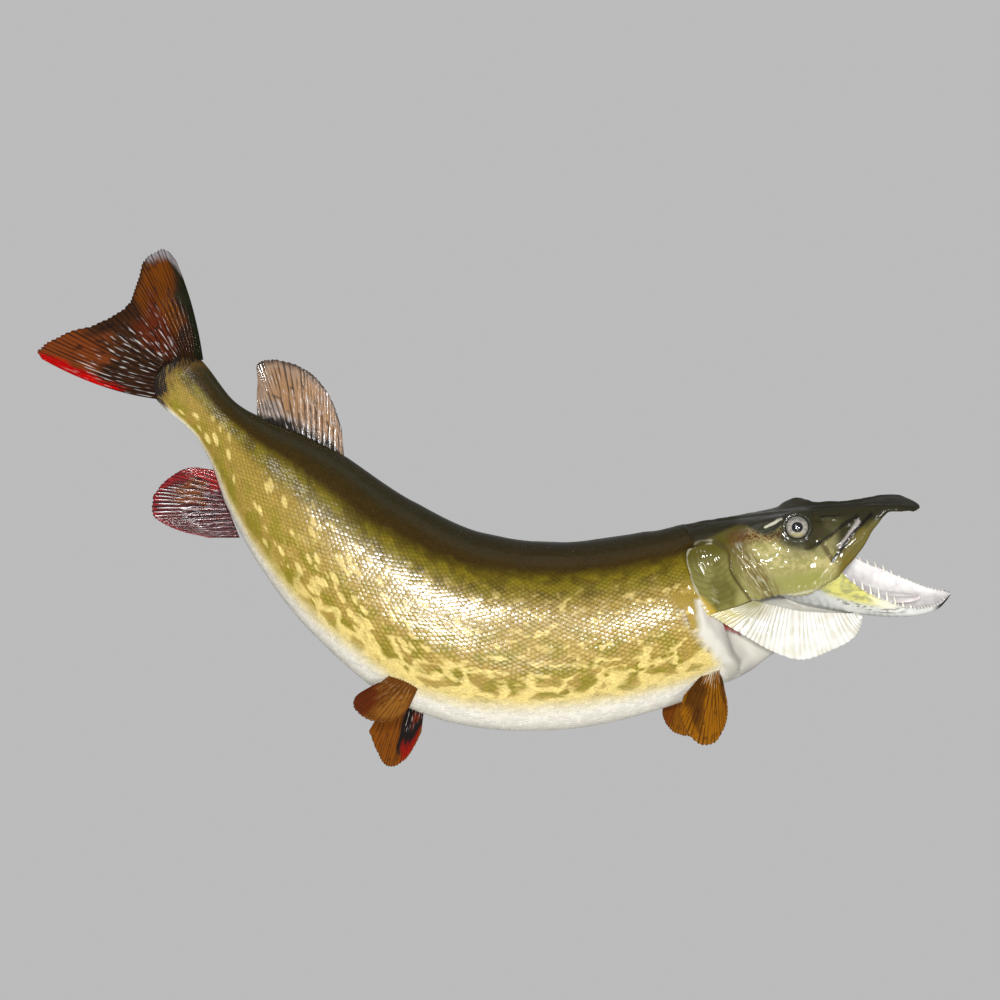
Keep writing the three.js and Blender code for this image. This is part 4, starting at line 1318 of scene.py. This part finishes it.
def headMarkings(paint):
    place = paint.attribute("headAt")
    u, v, w = paint.split(place)
    broad = paint.noise(place, 22, 2.0)
    fine = paint.noise(place, 5, 2.0)
    push = (broad - 0.5) * 4.0 + (fine - 0.5) * 2.0
    pushed = u + push

    def line(name, width, soft):
        return (paint.value(name) + push * 0.6).near(width, soft)

    c = headColours
    deep = (w + push * 1.5 - u * 0.35).step(-8, 12)
    rings = paint.sum("SINE", (((u - 20) ** 2 + (w - 22) ** 2 * 0.7) ** 0.5 + push * 1.1) * 1.35)
    onCover = (u + push * 2.0).step(50, 42)
    freckles = paint.noise(place, 2.4, 1.0).step(0.42, 0.60)
    bill = paint.coats(c, "billEdge", ("bill", paint.value("lipEdge").step(2, 12)),
                       ("gold", line("goldPatch", 5, 4) * 0.8), ("bill", u.step(186, 198)))
    front = (u + push * 0.5).step(106, 114) * (paint.value("overStripe") + push * 0.5).step(-1.5, 1.5)
    folds = paint.noise(paint.vector((u * 0.8 + w * 0.5) / 2.4, (w * 0.8 - u * 0.5) / 9.0, 0.0), 1.0, 1.0)
    lower = u.step(45, 85) * 7.0
    dark = (paint.value("overTop") + push * 0.7 + lower).step(-3.0, 2.0)
    beside = v.step(18, 22)
    cheek = paint.blend(c["cheek"], c["cheekGold"], fine.step(0.40, 0.62) * w.step(-8, 8))
    colour = paint.coats(
        c, "cover",
        # the gill cover: dark at its top rear corner, with growth lines
        ("coverDeep", deep.atLeast(broad.step(0.45, 0.65) * 0.7)),
        ("coverDeep", rings.step(0.2, 0.9) * onCover * 0.30),
        # the cheek and the bill
        (cheek, (pushed - w * 0.15).step(46, 56)),
        ("green", line("greenPatch", 7, 5) * 0.85),
        ("olive", pushed.step(84, 104) * w.step(8, 24) * 0.7),
        ("red", line("redPatch", 6, 5) * freckles.step(0, 1, 0.5, 1.0)),
        (bill, pushed.step(138, 150)),
        (paint.blend(c["bill"], c["olive"], broad.step(0.42, 0.7) * 0.28), front),
        # edges and folds
        ("yellow", line("yellowPatch", 6, 4) * 0.85),
        ("pale", line("lipEdge", 1.3, 1.2) * pushed.step(132, 118) * 0.6),
        ("pale", line("coverEdge", 0.9, 0.9) * 0.5),
        ("brown", line("creaseLine", 1.2, 1.4) * 0.8),
        ("fold", line("cheekFold", 11.0, 6.0) * (0.45 + folds.step(0.52, 0.40) * 0.5)),
        # pale streaks painted along the cheek's folds as highlights
        ("foldHighlight", line("cheekFold", 7.0, 4.0) * folds.step(0.56, 0.64) * 0.3),
        ("brown", line("jawSpot", 2.6, 1.5) * 0.85),
        ("mauve", line("paleStripe", 2.2, 1.4) * 0.85),
        # the crown, and the dark marks round the eye
        ("crown", dark.atLeast(v.step(23, 18) * w.step(28, 36))),
        ("shade", line("eyeShade", 3.0, 3.0) * 0.6),
        ("black", line("lowStripe", 1.5, 1.0) * 0.95),
        ("black", line("darkStripe", 1.7, 1.3) * u.step(116, 126) * 0.9),
        ("mask", (paint.value("eyeGap") + push * 0.5).near(17.0, 3.0) * beside * 0.9),
        ("black", line("nostrilLine", 0.9, 0.8) * 0.95),
        ("pale", line("eyeWedge", 0.8, 0.7) * beside * 0.85))
    return colour, place, rings * onCover


jawColours = {
    "yellow": (0.55, 0.51, 0.14), "stain": (0.23, 0.235, 0.10), "pale": (0.66, 0.63, 0.50),
    "grey": (0.34, 0.35, 0.33), "greyPale": (0.58, 0.58, 0.55), "dark": (0.07, 0.07, 0.055),
    "black": (0.012, 0.011, 0.010),
}


def jawMarkings(paint):
    place = paint.attribute("jawAt")
    u, _, w = paint.split(place)
    wave = paint.noise(place, 14, 2.0) - 0.5
    push = wave * 8.0
    pushed = u + push
    height = paint.value("overKeel") + wave * 0.15
    over = (paint.value("overYellow") + push * 0.7).step(-4.0, 4.5)
    stain = paint.noise(paint.stretch(place, 1.0, 1.0, 1.6), 9, 2.0)
    yellow = paint.coats(
        jawColours, "yellow",
        ("stain", stain.step(0.42, 0.66) * 0.75),
        ("stain", (u + push * 1.5 - w * 0.5).step(26, 50, 1.0, 0.0)),
        ("pale", pushed.step(80, 108)))
    smudge = paint.noise(paint.stretch(place, 1.0, 1.0, 2.0), 6, 1.0).step(0.46, 0.60)
    band = abs(paint.value("overYellow") + 3.5).near(3.0, 2.0)
    band = band * pushed.step(48, 62) * pushed.step(128, 112)
    return paint.coats(
        jawColours, "greyPale",
        ("grey", height.step(0.28, 0.10)),
        ("grey", height.step(0.2, 0.3) * pushed.step(70, 30) * 0.6),
        (yellow, over),
        ("dark", smudge * band * 0.8),
        ("black", (u + push * 0.3).step(147, 158)))


skinColours = {
    # hollow is shade painted in the hollow just ahead of the shoulder
    "white": (0.62, 0.605, 0.55), "cream": (0.47, 0.445, 0.365), "hollow": (0.36, 0.33, 0.30),
    "lining": (0.75, 0.73, 0.71), "liningDeep": (0.60, 0.55, 0.56),
}


def skinMaterial():
    paint = Paint("lacquered skin", **lacquer)
    inHead, inJaw, inThroat = paint.split(paint.attribute("parts"))
    colour, h = bodyMarkings(paint)
    headColour, place, rings = headMarkings(paint)
    u = paint.split(place)[0]
    ragged = paint.noise(place, 9, 2.0) - 0.5
    c = skinColours
    white = paint.blend(c["white"], c["cream"], paint.noise(place, 16, 1.0))
    shoulder = paint.value("shoulder")
    inside = paint.value("inside")
    lining = paint.blend(c["lining"], c["liningDeep"], paint.noise(place, 11, 2.0).step(0.4, 0.75))
    colour = paint.coats(
        c, colour,
        (white, shoulderWhite(paint)),
        (white, inThroat.step(0.3, 0.6)),
        # painted shade in the hollow ahead of the shoulder's white band
        ("hollow", (shoulder + ragged * 4.0).step(5, 13) * shoulder.step(30, 18) * 0.6),
        (headColour, (inHead + ragged * 0.25).step(0.42, 0.58)),
        (jawMarkings(paint), inJaw.step(0.4, 0.6)),
        (lining, inside.step(0.25, 0.7)))
    grain = paint.noise(place, 1.6, 2.0)
    pebbles = paint.voronoi(place, 2.3, 0.6)
    folds = paint.noise(paint.stretch(place, 1.0, 1.0, 1.6), 5.0, 2.0, 0.5, twist=0.8)
    onHead = inHead.step(0.4, 0.8) * (1 - inside)
    height = grain * 0.30 + (pebbles * 0.55 + folds * 0.8 + rings * 0.15) * onHead
    bill = inHead * u.step(108, 124)
    rough = paint.noise(place, 6, 2.0).step(0.3, 0.7, 0.26, 0.38) + bill * 0.12
    gloss = backGloss(h).atLeast(inHead * 0.9) - bill * 0.7 - inHead * u.step(52, 42) * 0.62
    return paint.finish(colour, Roughness=rough, Normal=paint.bump(height, 0.30, 0.7), Coat_Weight=gloss)


wear(skinMaterial(), pikeSkin)
wear(scaleMaterial(), *scalePieces)

whole = (-0.3, 1.3)  # past both ends
# each patch is a colour, where it starts and ends along the base, and how far out it starts and ends
# each fin also has pale streaks painted on as highlights, in a colour and an area of their own
finLooks = {
    "tail_fin": {
        "coat": 0.05, "web": (0.030, 0.012, 0.005), "ray": (0.007, 0.005, 0.005), "lines": 0.8,
        "paintedGlint": (0.42, 0.41, 0.40), "paintedGlintAt": ((0.34, 1.1), (0.02, 0.72)), "patches": [
            ((0.100, 0.026, 0.001), (0.15, 0.46), (0.32, 0.96)),
            ((0.010, 0.012, 0.004), (-0.3, 0.11), (-0.3, 0.88)),
            ((0.075, 0.014, 0.004), (0.32, 0.58), (0.15, 0.75)),
            ((0.20, 0.18, 0.185), (-0.3, 0.24), (0.91, 1.3)),
            ((0.130, 0.030, 0.006), (0.68, 0.95), (0.55, 1.3)),
            ((0.40, 0.001, 0.001), (0.925, 1.3), (0.34, 1.3))]},
    "dorsal_fin": {
        "coat": 0.35, "web": (0.25, 0.165, 0.110), "ray": (0.020, 0.016, 0.014), "lines": 0.8,
        "paintedGlint": (0.40, 0.36, 0.34), "paintedGlintAt": (whole, (-0.3, 0.75)), "patches": [
            ((0.25, 0.140, 0.070), (0.08, 0.66), (0.28, 0.80)),
            ((0.22, 0.175, 0.145), (0.62, 1.3), (-0.3, 0.5)),
            ((0.04, 0.026, 0.020), (-0.3, 0.75), (0.94, 1.3)),
            ((0.012, 0.010, 0.008), whole, (-0.3, 0.19))]},
    "anal_fin": {
        "coat": 0.4, "web": (0.065, 0.011, 0.010), "ray": (0.008, 0.005, 0.007), "lines": 0.95,
        "paintedGlint": (0.30, 0.26, 0.28), "paintedGlintAt": ((-0.3, 0.76), (0.03, 0.70)), "patches": [
            ((0.22, 0.012, 0.012), (0.72, 1.3), whole),
            ((0.12, 0.034, 0.010), (0.48, 0.80), (0.25, 0.7)),
            ((0.17, 0.008, 0.010), whole, (0.88, 1.3))]},
    "pelvic_fin_right": {
        "coat": 0.15, "web": (0.115, 0.038, 0.005), "ray": (0.035, 0.012, 0.004), "lines": 0.6,
        "paintedGlint": (0.26, 0.15, 0.07), "paintedGlintAt": ((0.2, 1.3), (0.1, 0.5)), "patches": [
            ((0.075, 0.014, 0.003), (0.55, 1.3), (0.55, 1.3)),
            ((0.18, 0.070, 0.010), (0.1, 0.45), (0.35, 0.85))]},
    "pelvic_fin_left": {
        "coat": 0.15, "web": (0.155, 0.044, 0.003), "ray": (0.012, 0.006, 0.004), "lines": 0.6,
        "paintedGlint": (0.42, 0.40, 0.38), "paintedGlintAt": ((-0.3, 0.5), (-0.3, 0.55)), "patches": [
            ((0.009, 0.007, 0.007), (-0.3, 0.52), (-0.3, 0.84)),
            ((0.22, 0.006, 0.003), (0.02, 0.42), (0.74, 0.97)),
            ((0.11, 0.014, 0.004), (0.05, 0.3), (0.35, 0.55))]},
    "pectoral_fin_right": {
        "coat": 0.12, "web": (0.195, 0.072, 0.003), "ray": (0.028, 0.011, 0.003), "lines": 0.75,
        "paintedGlint": (0.48, 0.42, 0.32), "paintedGlintAt": (whole, (-0.3, 0.30)), "patches": [
            ((0.50, 0.45, 0.34), whole, (-0.3, 0.12)),
            ((0.070, 0.024, 0.003), (0.60, 1.3), (0.30, 0.80)),
            ((0.100, 0.034, 0.004), (-0.3, 0.18), (0.35, 0.9))]},
    "pectoral_fin_left": {
        "coat": 0.12, "web": (0.150, 0.040, 0.003), "ray": (0.028, 0.010, 0.003), "lines": 0.6,
        "paintedGlint": (0.18, 0.09, 0.04), "paintedGlintAt": (whole, (0.3, 0.6)), "patches": [
            ((0.030, 0.011, 0.003), whole, (-0.3, 0.3)),
            ((0.21, 0.075, 0.004), (0.2, 0.6), (0.6, 1.3))]},
}


def finMaterial(name):
    look = finLooks[name]
    rays = fins[name]["rays"]
    coat = {**lacquer, "IOR": 1.06, "Coat_Weight": look["coat"]}
    paint = Paint(name.replace("_", " ") + " lacquer", **coat)
    p, q, ridge = paint.split(paint.attribute("finAt"))
    drift = paint.noise(paint.vector(p * 6.0, q * 3.0, 3.0), 1.0, 2.0) - 0.5

    def within(share, span, soft):
        return share.step(span[0] - soft, span[0] + soft) * share.step(span[1] + soft, span[1] - soft)

    def area(along, out):
        return within(p + drift * 0.26, along, 0.04) * within(q - drift * 0.40, out, 0.08)

    streak = paint.noise(paint.vector(p * rays * 2.0, q * 3.0, 0.0), 1.0, 2.0)
    blotch = paint.noise(paint.vector(p * rays * 1.2, q * 7.0, 9.0), 1.0, 1.0).step(0.60, 0.70)
    thin = paint.noise(paint.vector(p * rays * 3.4, q * 6.0, 5.0), 1.0, 1.0)
    # pale streaks painted over the rays as highlights
    pale = (thin - ridge * 0.15).step(0.54, 0.64) * area(*look["paintedGlintAt"])
    colour = paint.coats(
        look, "web",
        *[(tint, area(along, out)) for tint, along, out in look["patches"]],
        ("ray", (ridge * 0.5 + streak * 0.8).step(0.66, 0.86) * look["lines"]),
        ("ray", blotch * look["lines"] * 0.8),
        ("paintedGlint", pale * 0.75))
    return paint.finish(colour, Roughness=streak.step(0.3, 0.7, 0.26, 0.40))


for name, obj in finPieces.items():
    wear(finMaterial(name), obj)


fanColours = {
    # groove and between are shade painted between the fan's ribs
    "cream": (0.58, 0.56, 0.48), "white": (0.68, 0.67, 0.63), "groove": (0.22, 0.20, 0.13),
    "between": (0.46, 0.44, 0.38), "olive": (0.24, 0.22, 0.075), "yellow": (0.42, 0.36, 0.13),
}


def fanMaterial():
    paint = Paint("gill fan lacquer", **lacquer)
    p, q, ridge = paint.split(paint.attribute("finAt"))
    cloud = paint.noise(paint.vector(p * 9.0, q * 3.0, 0.0), 1.0, 2.0)
    colour = paint.blend(fanColours["cream"], fanColours["white"], cloud.step(0.35, 0.65))
    rear = (p + q * 0.2 + (cloud - 0.5) * 0.3).step(0.62, 0.30)
    streaks = paint.noise(paint.vector(p * 34.0, q * 4.0, 2.0), 1.0, 1.0).step(0.32, 0.56)
    olive = (q + cloud * 0.3).step(1.0, 0.2) * (p + cloud * 0.1).step(0.40, 0.10)
    yellow = (q + cloud * 0.2).step(0.45, 0.75) * p.step(0.16, 0.05)
    colour = paint.coats(
        fanColours, colour,
        # painted shade between the ribs: darker in the pleats' grooves at the rear, lighter everywhere
        ("groove", ridge.step(0.34, 0.02) * streaks * rear * 0.7),
        ("between", ridge.step(0.3, 0.0) * 0.35),
        ("olive", olive * 0.85),
        ("yellow", yellow * 0.8))
    return paint.finish(colour, Roughness=cloud.step(0.3, 0.7, 0.28, 0.42))


for obj in fanPieces:
    wear(fanMaterial(), obj)


def plainFlesh(name, first, second, size, roughness):
    paint = Paint(name, **lacquer)
    place = paint.objectPlace()
    cloud = paint.noise(place, size * mm, 2.0)
    colour = paint.blend(first, second, cloud.step(0.35, 0.65))
    grain = paint.noise(place, 1.2 * mm, 2.0)
    rough = cloud.step(0.3, 0.7, roughness, roughness + 0.12)
    return paint.finish(colour, Roughness=rough, Normal=paint.bump(grain, 0.15, 0.5))


wear(plainFlesh("gill red", (0.30, 0.030, 0.022), (0.17, 0.012, 0.012), 5, 0.3), *combPieces)
wear(plainFlesh("tongue flesh", (0.74, 0.70, 0.68), (0.64, 0.57, 0.56), 12, 0.3), tongue)
wear(plainFlesh("tooth ivory", (0.80, 0.78, 0.70), (0.70, 0.66, 0.54), 3, 0.2), toothPiece)


eyeColours = {
    "iris": (0.35, 0.33, 0.29), "spoke": (0.15, 0.135, 0.11), "fleck": (0.52, 0.49, 0.44),
    # high is the brow's shadow, painted over the top of the iris
    "low": (0.34, 0.29, 0.10), "high": (0.09, 0.08, 0.07), "rim": (0.16, 0.15, 0.13),
    "edge": (0.02, 0.018, 0.015), "pupil": (0.004, 0.004, 0.005),
}


def eyeMaterial():
    paint = Paint("glass eye", Coat_Weight=1.0, Coat_Roughness=0.015, Coat_IOR=1.52, IOR=1.5)
    x, y, _ = paint.split(paint.attribute("eyeAt"))
    radius = (x * x + y * y) ** 0.5
    turn = paint.sum("ARCTAN2", y, x)
    spokes = paint.noise(paint.vector(turn * 5.0, radius * 0.35, 0.0), 1.0, 3.0, 0.6)
    mottle = paint.noise(paint.vector(x, y, 4.0), 2.6, 3.0, 0.6)
    pupil = ((x * 0.94) ** 2 + y * y) ** 0.5 + x * 0.05
    colour = paint.coats(
        eyeColours, "iris",
        ("spoke", spokes.step(0.42, 0.62) * 0.85),
        ("fleck", mottle.step(0.48, 0.62) * 0.55),
        ("low", (spokes * 3.0 - y).step(5.0, 9.0) * 0.75),
        # the top of the iris darker: the brow's shadow, painted
        ("high", (y + spokes * 3.0).step(4.5, 9.5) * 0.75),
        ("rim", (radius + spokes * 1.5).step(9.4, 10.8) * 0.8),
        ("edge", (radius + spokes * 0.8).step(10.6, 11.4)),
        ("pupil", pupil.near(5.2, 0.25)))
    return paint.finish(colour, Roughness=radius.step(4.0, 12.0, 0.08, 0.16))


wear(eyeMaterial(), *eyePieces)


def pineMaterial():
    paint = Paint("pine", IOR=1.45)
    place = paint.objectPlace()
    rings = paint.noise(paint.stretch(place, 0.12, 1.0, 1.0), 7 * mm, 2.0, 0.5, twist=1.2)
    streaks = paint.noise(paint.stretch(place, 0.05, 1.0, 1.0), 1.1 * mm, 2.0)
    colour = paint.blend((0.52, 0.33, 0.15), (0.33, 0.17, 0.06), rings.step(0.42, 0.60) * 0.75)
    colour = paint.blend(colour, (0.26, 0.13, 0.05), streaks.step(0.55, 0.72) * 0.5)
    rough = streaks.step(0.3, 0.7, 0.5, 0.68)
    return paint.finish(colour, Roughness=rough, Normal=paint.bump(streaks, 0.25, 0.6))


def steelMaterial():
    paint = Paint("zinc steel", Metallic=1.0)
    place = paint.objectPlace()
    blotch = paint.noise(place, 6 * mm, 3.0, 0.6)
    scratch = paint.noise(paint.stretch(place, 0.05, 1.0, 1.0), 0.7 * mm, 1.0)
    colour = paint.blend((0.55, 0.56, 0.58), (0.40, 0.41, 0.42), blotch.step(0.4, 0.62))
    rough = (blotch * 0.3 + scratch * 0.2).step(0.1, 0.4, 0.25, 0.45)
    return paint.finish(colour, Roughness=rough, Normal=paint.bump(scratch, 0.05, 0.5))


for name, material in (("hanger_block", pineMaterial()), ("hanger_plate", steelMaterial())):
    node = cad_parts[name]
    node.data.materials.clear()
    wear(material, node)
print("materials painted")

# ---- stage, lights and camera

studio = {
    "floor": -1.45, "ambient": 0.30, "backdrop": 0.50,
    "lens": 82.8, "sensor": 36, "camera": (0.050, -2.384, 0.090),
}
lamps = {
    "key": {"watts": 33, "size": (0.40, 0.11), "at": (0.06, -2.35, 0.27), "roll": 18},
    "low": {"watts": 18, "size": (0.50, 0.12), "at": (-0.16, -2.35, -0.36), "roll": -24},
    "right": {"watts": 17, "size": (0.20, 0.20), "at": (0.93, -2.35, -0.10), "aim": (0.05, -0.1, 0.0)},
    "under": {"watts": 3, "size": (0.40, 0.20), "at": (0.40, -2.35, -1.00), "aim": (0.15, -0.1, 0.0)},
    "left": {"watts": 6, "size": (0.30, 0.24), "at": (-0.44, -2.35, 0.96), "roll": -20},
    "overhead": {"watts": 5, "size": (2.6, 1.0), "at": (0.1, -0.7, 2.2), "aim": (0.05, -0.1, 0.0)},
}


def lamp(name, watts, size, at, aim=(0.0, -0.1, 0.0), roll=0):
    data = bpy.data.lights.new(name, "AREA")
    data.shape = "RECTANGLE"
    data.energy = watts
    data.size, data.size_y = size
    obj = bpy.data.objects.new(name, data)
    obj.location = at
    aimed = (Vector(aim) - Vector(at)).to_track_quat("-Z", "Y")
    obj.rotation_euler = (aimed @ Quaternion((0, 0, 1), math.radians(roll))).to_euler()
    bpy.context.scene.collection.objects.link(obj)


def surround():  # a dim room that looks pale behind the fish
    world = bpy.data.worlds.new("studio")
    bpy.context.scene.world = world
    world.use_nodes = True
    tree = world.node_tree
    room = tree.nodes["Background"]
    kinds = "Background", "MixShader", "LightPath"
    pale, mix, path = [tree.nodes.new("ShaderNode" + kind) for kind in kinds]
    for node, level in ((room, studio["ambient"]), (pale, studio["backdrop"])):
        node.inputs["Color"].default_value = (level, level, level, 1)
    tree.links.new(path.outputs["Is Camera Ray"], mix.inputs[0])
    tree.links.new(room.outputs[0], mix.inputs[1])
    tree.links.new(pale.outputs[0], mix.inputs[2])
    tree.links.new(mix.outputs[0], tree.nodes["World Output"].inputs["Surface"])


def stage():
    bm = bmesh.new()
    bmesh.ops.create_grid(bm, x_segments=1, y_segments=1, size=2.5)
    floor = piece("floor", bm)
    for vert in floor.data.vertices:
        vert.co.z = studio["floor"]
    paint = Paint("pale floor", Roughness=0.7)
    cloud = paint.noise(paint.objectPlace(), 0.5, 2.0)
    wear(paint.finish(paint.blend((0.60, 0.60, 0.58), (0.64, 0.63, 0.61), cloud)), floor)
    surround()
    for name, row in lamps.items():
        lamp(name, **row)
    bpy.context.scene.view_settings.view_transform = "Standard"


def camera():
    data = bpy.data.cameras.new("camera")
    data.lens, data.sensor_width = studio["lens"], studio["sensor"]
    obj = bpy.data.objects.new("camera", data)
    obj.location = studio["camera"]
    obj.rotation_euler = (math.pi / 2, 0, 0)
    bpy.context.scene.collection.objects.link(obj)
    bpy.context.scene.camera = obj


stage()
camera()
